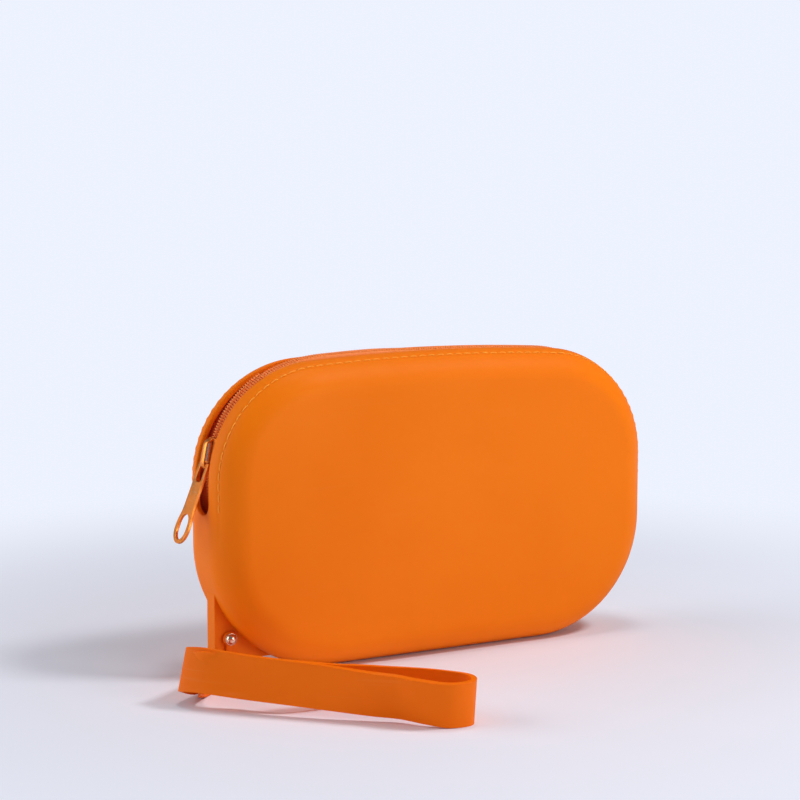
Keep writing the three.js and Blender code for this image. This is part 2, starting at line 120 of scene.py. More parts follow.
# Rings of the slider cover's dome, from its ridge out: shares of its half width and of its fall
COVER_RINGS = ((0.45, 0.12), (0.35, 0.34), (0.2, 0.54))

# Place, aim and width of each light
LIGHTS = {
    "key": ((0.36, -0.33, 0.69), (0.0, 0.0, 0.05), 0.16),
    "top": ((0.05, -0.03, 1.0), (0.0, -0.05, 0.05), 0.2),
    "fill": ((0.42, -0.98, 0.27), (0.0, 0.0, 0.05), 0.5),
    "side": ((-1.01, 0.4, 0.42), (-0.05, 0.0, 0.05), 0.9),
}

# Width of the camera's sensor in millimetres
SENSOR_WIDTH = 36.0

# Sockets of the mix node for numbers and for colours
MIX_WEIGHT = 0
MIX_NUMBERS = (2, 3)
MIX_COLOURS = (6, 7)
MIX_COLOUR_OUT = 2

# Route of the strap's outer layer from the rivet: across and ahead, in hundredths of its reach,
# and lift off the floor, in millimetres
HUNDREDTHS = 100.0
STRAP_ROUTE = (
    (-0.7, -1.7, 1.4), (-6.7, -6.5, 1.2), (-15.0, -15.8, 1.0), (-24.2, -23.4, 1.2),
    (-31.6, -29.9, 4.2), (-28.3, -38.6, 5.3), (-18.4, -49.1, 4.6), (-8.2, -59.7, 4.0),
    (4.1, -71.6, 3.1), (15.7, -81.1, 2.1), (23.0, -87.2, 1.7), (28.7, -95.7, 1.1),
    (34.3, -100.0, 0.3), (42.2, -99.8, 0.0), (44.9, -93.9, 0.0), (39.6, -84.8, 0.0),
    (28.9, -73.0, 0.0), (14.8, -60.4, 0.0),
)

# Points of the route at the left fold and in the middle of the loop's front and rear runs
STRAP_FOLD = 4
STRAP_FRONT = 10
STRAP_REAR = 16

# Points of the route that the inner layer follows back
STRAP_INNER = (7, 6, 5, 3, 2, 1, 0)


def length(name, description, default):
    return FloatProperty(name=name, description=description, default=default, unit="LENGTH", precision=5)


def angle(name, description, degrees):
    return FloatProperty(name=name, description=description, default=math.radians(degrees), unit="ROTATION")


def share(name, description, default):
    return FloatProperty(
        name=name, description=description, default=default, min=0.0, max=1.0, subtype="FACTOR"
    )


def colour(name, description, default):
    return FloatVectorProperty(
        name=name, description=description, default=default, size=3, min=0.0, max=1.0, subtype="COLOR"
    )


def place(name, description, default):
    return FloatVectorProperty(
        name=name, description=description, default=default, size=3, subtype="TRANSLATION", unit="LENGTH"
    )


def power(name, description, default):
    return FloatProperty(name=name, description=description, default=default, min=0.0, unit="POWER")


class ShellSizes(PropertyGroup):
    """Sizes of the moulded shell and its lug."""

    corner_top: length("Top corner", "Radius of the two top corners", 0.0395)
    corner_bottom: length("Bottom corner", "Radius of the two bottom corners", 0.043)
    crown: length("Top crown", "Rise of the arched top edge between its corners", 0.0015)
    edge_round: length("Edge round", "Rounding from the panels to the rim", 0.0113)
    wall: length("Wall", "Thickness of the silicone", 0.002)
    mouth_drop: length("Mouth drop", "Length of the mouth below the top corners", 0.0105)
    lip_round: length("Lip round", "Rounding of the mouth's lips", 0.0006)
    mouth_end: length("Mouth end", "Depth of the mouth's rounded ends", 0.0035)
    panel_ring: length("Panel ring", "Width of each ring of the panel's slight crown", 0.006)
    panel_rise: length("Panel rise", "Rise of each ring of the panel", 0.00012)
    seam_inset: length("Seam inset", "Distance from the mouth's edge to the seam", 0.0053)
    seam_depth: length("Seam depth", "Depth of the channel that the stitches lie in", 0.0003)
    lug_half: length("Lug half", "Half the thickness of the corner lug", 0.003)
    lug_side: length("Lug side", "Distance from the rivet to the lug's side edge", 0.005)
    lug_foot: length("Lug foot", "Distance from the rivet to the lug's lower edge", 0.0078)
    lug_corner: length("Lug corner", "Rounding of the lug's lower corner", 0.0025)
    lug_round: length("Lug round", "Rounding of the lug's edges", 0.0009)


class ZipSizes(PropertyGroup):
    """Sizes of the zip chain and the seam."""

    arc_radius: length("Arc radius", "Radius of the coil's crest round a top corner", 0.0379)
    arc_shift: length("Arc shift", "Shift of that arc's centre from the corner's, inwards and up", 0.00165)
    deepest: length("Deepest", "Depth of the coil's crest below the rim, at its ends", 0.004)
    rise: length("Rise", "Height of the coil's crest above the rim, on the left half of the top", 0.0007)
    ramp: length("Ramp", "Length over which the chain leaves its corner arcs for the top", 0.014)
    coil_inner: length("Coil inner", "Inner edge of a row where the slider's post passes", 0.00068)
    coil_lap: length("Coil lap", "How far the meshed rows reach past the middle", 0.0002)
    coil_outer: length("Coil outer", "Outer edge of a row", 0.0027)
    coil_height: length("Coil height", "Height of a row above the tape", 0.0024)
    coil_pitch: length("Coil pitch", "Distance between turns", 0.00098)
    coil_wire: length("Coil wire", "Radius of the wound nylon", 0.00044)
    core_at: length("Core place", "Distance of the cord inside a row from the chain's middle", 0.0017)
    core_half: length("Core half", "Half the width of the cord inside a row", 0.0009)
    core_height: length("Core height", "Height of the cord inside a row", 0.0022)
    coil_slant: angle("Coil slant", "Slant of each turn across the tape", 14.0)
    meshed_from: length("Meshed from", "Length along the rim from which the rows are meshed", 0.064)
    tape_inner: length("Tape inner", "Inner edge of each tape", 0.0008)
    tape_outer: length("Tape outer", "Outer edge of each tape, under the shell", 0.0124)
    tape_thick: length("Tape thickness", "Thickness of the woven tape", 0.0006)
    tape_tail: length("Tape tail", "Length of tape past each end of the mouth", 0.006)
    gap: length("Gap", "Clearance between pieces that rest on each other", 0.0003)
    stop_length: length("Stop length", "Length of the clamped end stops", 0.0024)
    stop_inset: length("Stop inset", "Distance from a stop's edge to its raised top", 0.0005)
    stop_rise: length("Stop rise", "Height of a stop's raised top", 0.00025)
    stop_round: length("Stop round", "Rounding of a stop's edges", 0.0003)
    stitch_pitch: length("Stitch pitch", "Distance between stitches", 0.0036)
    stitch_length: length("Stitch length", "Length of thread that shows in a stitch", 0.0029)
    stitch_sag: length("Stitch sag", "How far a stitch dips at its ends", 0.0004)
    thread: length("Thread", "Radius of the sewing thread", 0.00022)


class SliderSizes(PropertyGroup):
    """Sizes of the slider and its pull."""

    turn: angle("Turn", "Place of the slider round the chain's arc, up from the side", 11.6)
    half_length: length("Half length", "Half the length of the slider", 0.0055)
    half_wide: length("Wide end", "Half the width at the end where the rows part", 0.0039)
    half_narrow: length("Narrow end", "Half the width at the other end", 0.0034)
    corner: length("Corner", "Rounding of the plates' corners", 0.0016)
    plate: length("Plate", "Thickness of the plates", 0.0008)
    flange: length("Flange", "Thickness of the side flanges", 0.0009)
    flange_depth: length("Flange depth", "How far the flanges reach down beside the coil", 0.0012)
    under: length("Under", "Depth of the lower plate's upper face", 0.00402)
    post_half: length("Post", "Half the width of the post between the plates", 0.0006)
    post_length: length("Post length", "Length of the post", 0.003)
    edge: length("Edge", "Rounding of the cast edges", 0.00028)
    cover_half: length("Cover half", "Half the width of the arched cover", 0.0015)
    cover_end: length("Cover end", "Distance from the slider's middle to the cover's feet", 0.0052)
    cover_foot: length("Cover foot", "Height of the cover's feet", 0.00105)
    cover_top: length("Cover top", "Height of the cover's roof", 0.0036)
    cover_wall: length("Cover wall", "Thickness of the cover", 0.0006)
    cover_dome: length("Cover dome", "How far the cover's edges fall away from its ridge", 0.0005)
    pivot_x: length("Pivot along", "Place of the pull's bar along the slider", -0.0036429)
    pivot_z: length("Pivot height", "Height of the pull's bar", 0.0020571)
    lean: angle("Lean", "Lean of the pull off the slider's plate", 10.1)
    pull_length: length("Pull length", "Bar to tip of the pull", 0.0275)
    pull_half: length("Pull ring", "Half the width of the pull's ring", 0.0052)
    pull_neck: length("Pull neck", "Half the width of the pull's plate", 0.0037)
    pull_thick: length("Pull thickness", "Thickness of the pull", 0.001)
    pull_bar: length("Pull bar", "Half the width of the pull's bar", 0.0005)
    pull_window: length("Pull window", "Length of the window behind the bar", 0.0056)
    pull_arm: length("Pull arm", "Width of the arms beside the window", 0.0016)
    pull_flare: length("Pull flare", "Length over which the plate widens to the ring", 0.0083)
    pull_hole: length("Pull hole", "Half the width of the hole", 0.0034)
    pull_hole_length: length("Pull hole length", "Length of the hole", 0.0088)
    pull_rim: length("Pull rim", "Width of the ring at the tip", 0.0014)


class StrapSizes(PropertyGroup):
    """Sizes of the wrist strap and its rivet."""

    reach: length("Reach", "Rivet to the far end of the loop", 0.092)
    width: length("Width", "Width of the band", 0.014)
    thick: length("Thickness", "Thickness of the band", 0.0018)
    edge: length("Edge", "Rounding of the band's edges", 0.0005)
    tail: length("Tail", "Width of each tail at the root", 0.0044)
    taper: length("Taper", "Length over which each tail narrows", 0.028)
    layers: length("Layers", "Spacing of the two layers where they run side by side", 0.0034)
    inner_drop: length("Inner drop", "How much lower the inner layer lies than the outer one", 0.0009)
    fold_lean: length("Fold lean", "How far the top of the left fold leans in", 0.0027)
    fold_reach: length("Fold reach", "Distance from the fold at which the band is upright", 0.032)
    front_lean: length("Front lean", "How far the top of the loop's front run leans out", 0.0046)
    front_reach: length("Front reach", "Distance from the front run at which the band is upright", 0.03)
    rear_lean: length("Rear lean", "How far the top of the loop's rear run leans in", 0.002)
    rear_reach: length("Rear reach", "Distance from the rear run at which the band is upright", 0.03)
    rivet_x: length("Rivet across", "Place of the rivet across the pouch", -0.077569)
    rivet_z: length("Rivet height", "Height of the rivet", 0.012428)
    rivet_post: length("Rivet post", "Radius of the rivet's post", 0.0011)
    rivet_hole: length("Rivet hole", "Radius of the holes for the post", 0.0014)
    rivet_head: length("Rivet head", "Radius of the rivet's flange", 0.0021)
    rivet_dome: length("Rivet dome", "Radius of the rivet's dome", 0.0018)
    rivet_base: length("Rivet base", "Place of the head's back face", -0.0052)
    rivet_rise: length("Rivet rise", "Height of the dome", 0.0014)
    rivet_flange: length("Rivet flange", "Thickness of the flange", 0.0003)
    rivet_edge: length("Rivet edge", "Rounding of the turned edges", 0.00012)
    collar_front: length("Collar front", "Place of the collar's front face", 0.0033)
    collar_thick: length("Collar thickness", "Thickness of the collar", 0.0012)
    eye: length("Eye", "Radius of the strap's eye", 0.0023)
    eye_front: length("Eye front", "Place of the eye's front face", -0.0049)
    eye_thick: length("Eye thickness", "Thickness of the eye", 0.0016)
    eye_edge: length("Eye edge", "Rounding of the eye's edges", 0.0004)
    neck: length("Neck", "Half the width of the neck below the eye", 0.0011)
    root: length("Root", "Half the width of the root that joins the tails", 0.0018)
    root_depth: length("Root depth", "Depth of the root, from the eye's back face", 0.0057)


class Finishes(PropertyGroup):
    """Colours and surface values."""

    silicone: colour("Silicone", "Moulded orange silicone", (0.95, 0.2, 0.0015))
    silicone_deep: colour("Silicone, deep", "Darker drift in the moulded silicone", (0.91, 0.185, 0.001))
    silicone_rough: share("Silicone roughness", "Roughness of the moulded silicone", 0.5)
    shell_streaks: share("Shell streaks", "Amount of rubbed streaks on the shell", 0.015)
    strap_streaks: share("Strap streaks", "Amount of rubbed streaks on the strap", 0.1)
    strap: colour("Strap", "Silicone of the strap", (0.94, 0.172, 0.0015))
    strap_deep: colour("Strap, deep", "Darker drift in the strap", (0.9, 0.155, 0.001))
    bloom: colour("Bloom", "Pale bloom of handled silicone", (0.95, 0.5, 0.25))
    tape: colour("Tape", "Woven tape", (1.0, 0.2, 0.016))
    tape_deep: colour("Tape, deep", "Shade between the tape's threads", (0.82, 0.11, 0.006))
    coil: colour("Coil", "Wound nylon", (1.0, 0.31, 0.085))
    coil_deep: colour("Coil, deep", "Darker drift in the nylon", (0.98, 0.25, 0.055))
    coil_rough: share("Coil roughness", "Roughness of the wound nylon", 0.42)
    thread: colour("Thread", "Sewing thread", (1.0, 0.4, 0.05))
    thread_deep: colour("Thread, deep", "Shade between the thread's plies", (1.0, 0.34, 0.03))
    thread_rough: share("Thread roughness", "Roughness of the sewing thread", 0.6)
    plating: colour("Plating", "Copper-toned plating", (0.94, 0.33, 0.065))
    plating_worn: colour("Plating, worn", "Brighter metal where the plating is rubbed", (0.95, 0.5, 0.26))
    plating_dull: colour("Plating, dull", "Duller, browner plating", (0.82, 0.24, 0.03))
    plating_rough: share("Plating roughness", "Roughness of the plating", 0.4)
    steel: colour("Bright metal", "Bright rose-toned metal", (0.9, 0.66, 0.5))
    steel_dull: colour("Bright metal, dull", "Duller rose-toned metal", (0.62, 0.38, 0.25))
    steel_rough: share("Bright metal roughness", "Roughness of the bright metal", 0.18)


class StageSettings(PropertyGroup):
    """Floor, light and camera."""

    floor: colour("Floor", "Pale floor", (0.885, 0.9, 1.0))
    floor_drift: share("Floor drift", "Brightness of the floor's deeper tone", 0.97)
    floor_half: length("Floor half", "Half the width of the floor", 6.0)
    backdrop: colour("Backdrop", "Bluish white behind the object", (0.85, 0.89, 1.0))
    ambient: colour("Ambient", "Light from all round", (0.88, 0.93, 1.0))
    ambient_power: share("Ambient strength", "Strength of the light from all round", 0.21)
    key_power: power("Key", "Power of the light from high on the right", 2.75)
    top_power: power("Top", "Power of the light from straight above", 1.5)
    fill_power: power("Fill", "Power of the low light from the front", 3.1)
    side_power: power("Side", "Power of the low light from the left and behind", 6.2)
    fade_near: length("Fade near", "Distance at which the floor starts to fade", 0.09)
    fade_far: length("Fade far", "Distance at which the floor has faded", 0.36)
    camera_at: place("Camera", "Place of the camera", (-0.35067, -0.60738, 0.17045))
    camera_turn: angle("Camera turn", "Turn of the camera's view from +Y towards +X", 29.28)
    camera_tilt: angle("Camera tilt", "Tilt of the camera's view below the horizon", 6.725)
    camera_lens: FloatProperty(
        name="Lens", description="Focal length on a 36 mm sensor", default=90.785, unit="CAMERA"
    )


def mixed(first, second, weight):
    return first + (second - first) * weight


def eased(value, low, high):
    t = min(max((value - low) / (high - low), 0.0), 1.0)
    return t * t * (3.0 - 2.0 * t)


class Rim:
    """Outline of the pouch seen from the front, walked by its length from the middle of the top."""

    def __init__(self, shell):
        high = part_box("pouch_shell")[1]
        self.half_width = high.x
        self.half_depth = high.y
        self.height = high.z
        self.round = shell.edge_round
        self.flat_half = self.half_depth - self.round
        self.top = shell.corner_top
        self.bottom = shell.corner_bottom
        self.top_x = self.half_width - self.top
        self.bottom_x = self.half_width - self.bottom
        self.crown_radius = self.top_x**2 / (2.0 * shell.crown) + self.top
        self.crown_z = self.height - self.crown_radius
        reach = self.crown_radius - self.top
        self.top_z = self.crown_z + math.sqrt(reach**2 - self.top_x**2)
        self.crown_angle = math.asin(self.top_x / reach)
        self.crown_run = self.crown_radius * self.crown_angle
        self.corner_run = self.top * (QUARTER - self.crown_angle)
        self.mouth_run = self.crown_run + self.corner_run + shell.mouth_drop
        self.mouth_z = self.top_z - shell.mouth_drop

    def at(self, run):
        """Point and outward direction at a length along the rim."""
        side = math.copysign(1.0, run)
        walked = abs(run)
        past = walked - self.crown_run - self.corner_run
        if past > 0.0:
            return Vector((side * self.half_width, 0.0, self.top_z - past)), Vector((side, 0.0, 0.0))
        if walked <= self.crown_run:
            centre, radius, turn = (0.0, 0.0, self.crown_z), self.crown_radius, walked / self.crown_radius
        else:
            turn = self.crown_angle + (walked - self.crown_run) / self.top
            centre, radius = (side * self.top_x, 0.0, self.top_z), self.top
        outward = Vector((side * math.sin(turn), 0.0, math.cos(turn)))
        return Vector(centre) + radius * outward, outward

    def frame(self, run, depth=0.0):
        """Axes at a length along the rim, below it by a depth."""
        point, outward = self.at(run)
        return set_axes(point - depth * outward, outward)

    def drop(self, across, inset=0.0):
        """Depth of the rounded face below the rim's crest, inside the outer face by an inset."""
        radius = self.round - inset
        past = max(abs(across) - self.flat_half, 0.0)
        return inset + radius - math.sqrt(max(radius**2 - past**2, 0.0))


def set_axes(point, outward):
    """Axes at a point: X onwards, Y to the back, Z outwards."""
    onward = Vector((outward.z, 0.0, -outward.x))
    matrix = Matrix((onward, ACROSS, outward)).transposed().to_4x4()
    matrix.translation = point
    return matrix


def arc_centre(rim, sizes, side):
    """Centre of the chain's arc at the left or right top corner."""
    return Vector((side * (rim.top_x - sizes.arc_shift), 0.0, rim.top_z + sizes.arc_shift))


def arc_depth(rim, sizes, run):
    """Depth of the chain's corner arc below the rim."""
    point, outward = rim.at(run)
    away = point - arc_centre(rim, sizes, math.copysign(1.0, run))
    reach = away.dot(outward)
    within = max(reach**2 - away.length_squared + sizes.arc_radius**2, 0.0)
    return min(reach - math.sqrt(within), sizes.deepest)


def crest_depth(rim, sizes, run):
    """Depth of the coil's crest: on its arcs round the corners, level on top, proud on the left half."""
    up = eased(rim.crown_run + sizes.ramp / 2 - abs(run), 0.0, sizes.ramp)
    rise = sizes.rise * eased(-run, 0.0, rim.crown_run / 2)
    return mixed(arc_depth(rim, sizes, run), -rise, up)


def picked(items, kind):
    """The items that are vertices, edges or faces, as asked."""
    return [item for item in items if isinstance(item, kind)]


class Pen:
    """Draws a chain of edges in the XZ plane with arcs and straight runs."""

    def __init__(self, bm, x, z):
        self.bm = bm
        self.first = bm.verts.new((x, 0.0, z))
        self.tip = self.first

    def line(self, x, z):
        made = bmesh.ops.extrude_vert_indiv(self.bm, verts=[self.tip])
        self.tip = made["verts"][0]
        self.tip.co = (x, 0.0, z)

    def arc(self, x, z, turn, steps=ARC_STEPS):
        made = bmesh.ops.spin(
            self.bm, geom=[self.tip], cent=(x, 0.0, z), axis=RIM_AXIS, angle=turn, steps=steps
        )
        self.tip = picked(made["geom_last"], BMVert)[0]

    def close(self):
        if (self.tip.co - self.first.co).length < NEAR:
            bmesh.ops.pointmerge(self.bm, verts=[self.first, self.tip], merge_co=self.first.co)
        else:
            self.bm.edges.new((self.tip, self.first))


def push_faces(bm, faces, way):
    """Pushes faces out along a direction, with walls behind them."""
    made = bmesh.ops.extrude_face_region(bm, geom=faces)
    bmesh.ops.translate(bm, verts=picked(made["geom"], BMVert), vec=way)


def face_out(bm):
    """Turns all faces outwards."""
    bmesh.ops.recalc_face_normals(bm, faces=bm.faces[:])


def thicken(bm, low, high):
    """Fills the drawn chains, holes left open, and gives the plate its thickness across Y."""
    bmesh.ops.triangle_fill(bm, edges=bm.edges[:], use_beauty=True, use_dissolve=True)
    bmesh.ops.translate(bm, verts=bm.verts[:], vec=low * ACROSS)
    push_faces(bm, bm.faces[:], (high - low) * ACROSS)
    face_out(bm)


def cut_round(bm, geom, offset, segments, affect="EDGES", clamp=True):
    """Rounds edges or corners."""
    return bmesh.ops.bevel(
        bm, geom=geom, offset=offset, offset_type="OFFSET", segments=segments, profile=0.5,
        affect=affect, material=-1, clamp_overlap=clamp,
    )


def to_mesh(name, bm):
    """Turns a bmesh into a named mesh."""
    mesh = bpy.data.meshes.new(name)
    bm.to_mesh(mesh)
    bm.free()
    return mesh


def move(bm, matrix):
    """Moves all that is drawn."""
    bmesh.ops.transform(bm, matrix=matrix, verts=bm.verts[:])


def add_piece(name, bm, body, look, stands_for=()):
    """Turns a bmesh into a piece with a named finish, which rides on a body."""
    mesh = to_mesh(name, bm)
    mesh.shade_smooth()
    piece = bpy.data.objects.new(name, mesh)
    bpy.context.scene.collection.objects.link(piece)
    mesh.materials.append(finish(look))
    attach(piece, body)
    if stands_for:
        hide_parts(*stands_for)
    return piece


def give_wall(piece, thickness, offset):
    """Gives a surface its thickness."""
    wall = piece.modifiers.new("Wall", "SOLIDIFY")
    wall.thickness = thickness
    wall.offset = offset
    wall.use_even_offset = True


def round_edges(piece, width, segments=EDGE_STEPS, limit=EDGE_LIMIT):
    """Rounds the edges that are sharper than a limit."""
    edge = piece.modifiers.new("Edges", "BEVEL")
    edge.width = width
    edge.segments = segments
    edge.limit_method = "ANGLE"
    edge.angle_limit = math.radians(limit)
    normals = piece.modifiers.new("Normals", "WEIGHTED_NORMAL")
    normals.keep_sharp = True


def append_copies(bm, mesh, matrices):
    """Adds a copy of a small mesh for each place."""
    for matrix in matrices:
        copy = mesh.copy()
        copy.transform(matrix)
        bm.from_mesh(copy)
        bpy.data.meshes.remove(copy)


def set_inputs(tree, node, inputs):
    """Gives a node's inputs their values or links."""
    for key, value in inputs.items():
        if isinstance(value, NodeSocket):
            tree.links.new(value, node.inputs[key])
        else:
            node.inputs[key].default_value = value


def put(tree, kind, inputs, **settings):
    """Adds a node, with values or links for its inputs."""
    node = tree.nodes.new(kind)
    for key, value in settings.items():
        setattr(node, key, value)
    set_inputs(tree, node, inputs)
    return node


def blend_colours(tree, weight, first, second):
    """Mixes two colours, given as links or as values."""
    inputs = {MIX_WEIGHT: weight}
    for index, value in zip(MIX_COLOURS, (first, second)):
        inputs[index] = value if isinstance(value, NodeSocket) else (*value, 1.0)
    return put(tree, "ShaderNodeMix", inputs, data_type="RGBA").outputs[MIX_COLOUR_OUT]


def multiply(tree, first, second):
    """Product of two values."""
    return put(tree, "ShaderNodeMath", {0: first, 1: second}, operation="MULTIPLY").outputs[0]


def noise(tree, where, scale, detail):
    """Noise from 0 to 1 over the object's coordinates."""
    inputs = {"Vector": where, "Scale": scale, "Detail": detail}
    return put(tree, "ShaderNodeTexNoise", inputs).outputs["Fac"]


def clip(tree, value, low, high):
    """A part of a value's range, stretched to run from 0 to 1."""
    inputs = {"Value": value, "From Min": low, "From Max": high}
    return put(tree, "ShaderNodeMapRange", inputs).outputs["Result"]


def spread(tree, value, low, high):
    """A value from 0 to 1 spread over a range."""
    inputs = {"Value": value, "To Min": low, "To Max": high}
    return put(tree, "ShaderNodeMapRange", inputs).outputs["Result"]


def start_group(name, inputs, outputs):
    """An empty node group with named sockets."""
    tree = bpy.data.node_groups.new(name, "ShaderNodeTree")
    for label, kind, default in inputs:
        socket = tree.interface.new_socket(label, in_out="INPUT", socket_type=kind)
        if default is not None:
            socket.default_value = default
    for label, kind in outputs:
        tree.interface.new_socket(label, in_out="OUTPUT", socket_type=kind)
    return tree, tree.nodes.new("NodeGroupInput").outputs, tree.nodes.new("NodeGroupOutput")


def tone_group():
    """Slow drift between two tones, as in pigment mixed into silicone."""
    found = bpy.data.node_groups.get("Tone drift")
    if found:
        return found
    tree, entry, leave = start_group(
        "Tone drift",
        (
            ("Vector", "NodeSocketVector", None),
            ("Scale", "NodeSocketFloat", 20.0),
            ("Light tone", "NodeSocketColor", None),
            ("Deep tone", "NodeSocketColor", None),
        ),
        (("Color", "NodeSocketColor"), ("Mask", "NodeSocketFloat")),
    )
    mask = clip(tree, noise(tree, entry["Vector"], entry["Scale"], detail=5.0), low=0.35, high=0.68)
    tone = blend_colours(tree, mask, entry["Light tone"], entry["Deep tone"])
    set_inputs(tree, leave, {"Color": tone, "Mask": mask})
    return tree


def grain_group():
    """Fine moulded grain over a slow swell, as a height."""
    found = bpy.data.node_groups.get("Moulded grain")
    if found:
        return found
    tree, entry, leave = start_group(
        "Moulded grain",
        (
            ("Vector", "NodeSocketVector", None),
            ("Grain scale", "NodeSocketFloat", 2600.0),
            ("Swell scale", "NodeSocketFloat", 45.0),
            ("Swell share", "NodeSocketFloat", 0.4),
        ),
        (("Height", "NodeSocketFloat"),),
    )
    inputs = {MIX_WEIGHT: entry["Swell share"]}
    for index, label, detail in zip(MIX_NUMBERS, ("Grain scale", "Swell scale"), (3.0, 2.0)):
        inputs[index] = noise(tree, entry["Vector"], entry[label], detail)
    height = put(tree, "ShaderNodeMix", inputs, data_type="FLOAT")
    set_inputs(tree, leave, {"Height": height.outputs[0]})
    return tree


def scuff_group():
    """Thin rubbed streaks, drawn out along one direction."""
    found = bpy.data.node_groups.get("Rubbed streaks")
    if found:
        return found
    tree, entry, leave = start_group(
        "Rubbed streaks",
        (
            ("Vector", "NodeSocketVector", None),
            ("Stretch", "NodeSocketVector", (30.0, 30.0, 700.0)),
            ("Amount", "NodeSocketFloat", 0.5),
        ),
        (("Mask", "NodeSocketFloat"),),
    )
    inputs = {0: entry["Vector"], 1: entry["Stretch"]}
    drawn = put(tree, "ShaderNodeVectorMath", inputs, operation="MULTIPLY").outputs[0]
    streak = clip(tree, noise(tree, drawn, scale=1.0, detail=4.0), low=0.56, high=0.74)
    patch = clip(tree, noise(tree, entry["Vector"], scale=38.0, detail=2.0), low=0.46, high=0.66)
    set_inputs(tree, leave, {"Mask": multiply(tree, multiply(tree, streak, patch), entry["Amount"])})
    return tree


def start_finish(name):
    """A new material with its shader and the object's own coordinates."""
    material = bpy.data.materials.new(name)
    material.use_nodes = True
    tree = material.node_tree
    shader = tree.nodes["Principled BSDF"]
    spot = tree.nodes.new("ShaderNodeTexCoord").outputs
    return material, tree, shader, spot


def fill_group(tree, group, inputs):
    """Places a node group, with values or links for its inputs."""
    return put(tree, "ShaderNodeGroup", inputs, node_tree=group).outputs


def drift_tone(tree, where, light, deep, scale):
    """A slow drift between two tones, as a colour and a mask."""
    inputs = {"Vector": where, "Scale": scale, "Light tone": (*light, 1.0), "Deep tone": (*deep, 1.0)}
    return fill_group(tree, tone_group(), inputs)


def drift_roughness(tree, shader, mask, rough, smoother, duller):
    """Roughness that drifts with the tone, a little to both sides of its value."""
    set_inputs(tree, shader, {"Roughness": spread(tree, mask, rough - smoother, rough + duller)})


def raise_surface(tree, shader, height, strength, distance):
    """Raises the surface by a height from 0 to 1, as a bump."""
    bump = put(tree, "ShaderNodeBump", {"Height": height, "Strength": strength, "Distance": distance})
    set_inputs(tree, shader, {"Normal": bump.outputs["Normal"]})


def silicone_finish(name, light, deep, streaks):
    """Satin silicone: slow drift of tone, pale rubbed streaks and a fine grain."""
    looks = bpy.context.scene.pouch_finishes
    material, tree, shader, spot = start_finish(name)
    where = spot["Object"]
    tone = drift_tone(tree, where, light, deep, scale=22.0)
    streak = fill_group(tree, scuff_group(), {"Vector": where, "Amount": streaks})
    drift_roughness(tree, shader, tone["Mask"], looks.silicone_rough, smoother=0.05, duller=0.07)
    grain = fill_group(tree, grain_group(), {"Vector": where})
    raise_surface(tree, shader, grain["Height"], strength=0.14, distance=0.00025)
    inputs = {
        "Base Color": blend_colours(tree, streak["Mask"], tone["Color"], looks.bloom),
        "Specular IOR Level": 0.1,
        "Subsurface Weight": 0.08,
        "Subsurface Radius": (1.0, 0.25, 0.05),
        "Subsurface Scale": 0.002,
    }
    set_inputs(tree, shader, inputs)
    return material


def tape_finish(name):
    """Woven tape: ribs along and across, read from the tape's own map."""
    looks = bpy.context.scene.pouch_finishes
    material, tree, shader, spot = start_finish(name)
    ribs = []
    for way in ("X", "Y"):
        inputs = {"Vector": spot["UV"], "Scale": 420.0, "Distortion": 0.6}
        ribs.append(put(tree, "ShaderNodeTexWave", inputs, bands_direction=way).outputs["Fac"])
    weave = multiply(tree, *ribs)
    raise_surface(tree, shader, weave, strength=0.5, distance=0.0002)
    inputs = {
        "Base Color": blend_colours(tree, weave, looks.tape_deep, looks.tape),
        "Roughness": spread(tree, weave, low=0.95, high=0.8),
        "Sheen Weight": 0.2,
    }
    set_inputs(tree, shader, inputs)
    return material


def strand_finish(name, light, deep, rough, scale):
    """Wound or twisted strands: a fine drift of tone that is also raised a little."""
    material, tree, shader, spot = start_finish(name)
    tone = drift_tone(tree, spot["Object"], light, deep, scale)
    drift_roughness(tree, shader, tone["Mask"], rough, smoother=0.08, duller=0.1)
    raise_surface(tree, shader, tone["Mask"], strength=0.25, distance=0.0001)
    set_inputs(tree, shader, {"Base Color": tone["Color"], "Specular IOR Level": 0.1})
    return material


def metal_finish(name, plain, worn, dull, rough):
    """Plated or turned metal: duller drift, rubbed streaks and a fine satin grain."""
    material, tree, shader, spot = start_finish(name)
    where = spot["Object"]
    tone = drift_tone(tree, where, plain, dull, scale=260.0)
    rubbed = {"Vector": where, "Stretch": (900.0, 300.0, 2600.0), "Amount": 0.7}
    streak = fill_group(tree, scuff_group(), rubbed)
    base = blend_colours(tree, streak["Mask"], tone["Color"], worn)
    drift_roughness(tree, shader, tone["Mask"], rough, smoother=0.06, duller=0.12)
    grain = fill_group(tree, grain_group(), {"Vector": where, "Grain scale": 5200.0, "Swell scale": 600.0})
    raise_surface(tree, shader, grain["Height"], strength=0.1, distance=0.0001)
    set_inputs(tree, shader, {"Base Color": base, "Metallic": 1.0})
    return material


def finish(name):
    """The named finish, made the first time that it is asked for."""
    found = bpy.data.materials.get(name)
    if found:
        return found
    looks = bpy.context.scene.pouch_finishes
    if name == "shell_silicone":
        return silicone_finish(name, looks.silicone, looks.silicone_deep, looks.shell_streaks)
    if name == "strap_silicone":
        return silicone_finish(name, looks.strap, looks.strap_deep, looks.strap_streaks)
    if name == "woven_tape":
        return tape_finish(name)
    if name == "wound_nylon":
        return strand_finish(name, looks.coil, looks.coil_deep, looks.coil_rough, scale=900.0)
    if name == "sewing_thread":
        return strand_finish(name, looks.thread, looks.thread_deep, looks.thread_rough, scale=2200.0)
    if name == "copper_plating":
        return metal_finish(
            name, looks.plating, looks.plating_worn, looks.plating_dull, looks.plating_rough
        )
    if name == "bright_steel":
        return metal_finish(name, looks.steel, looks.steel, looks.steel_dull, looks.steel_rough)
    raise ValueError(f"no finish is named {name}")


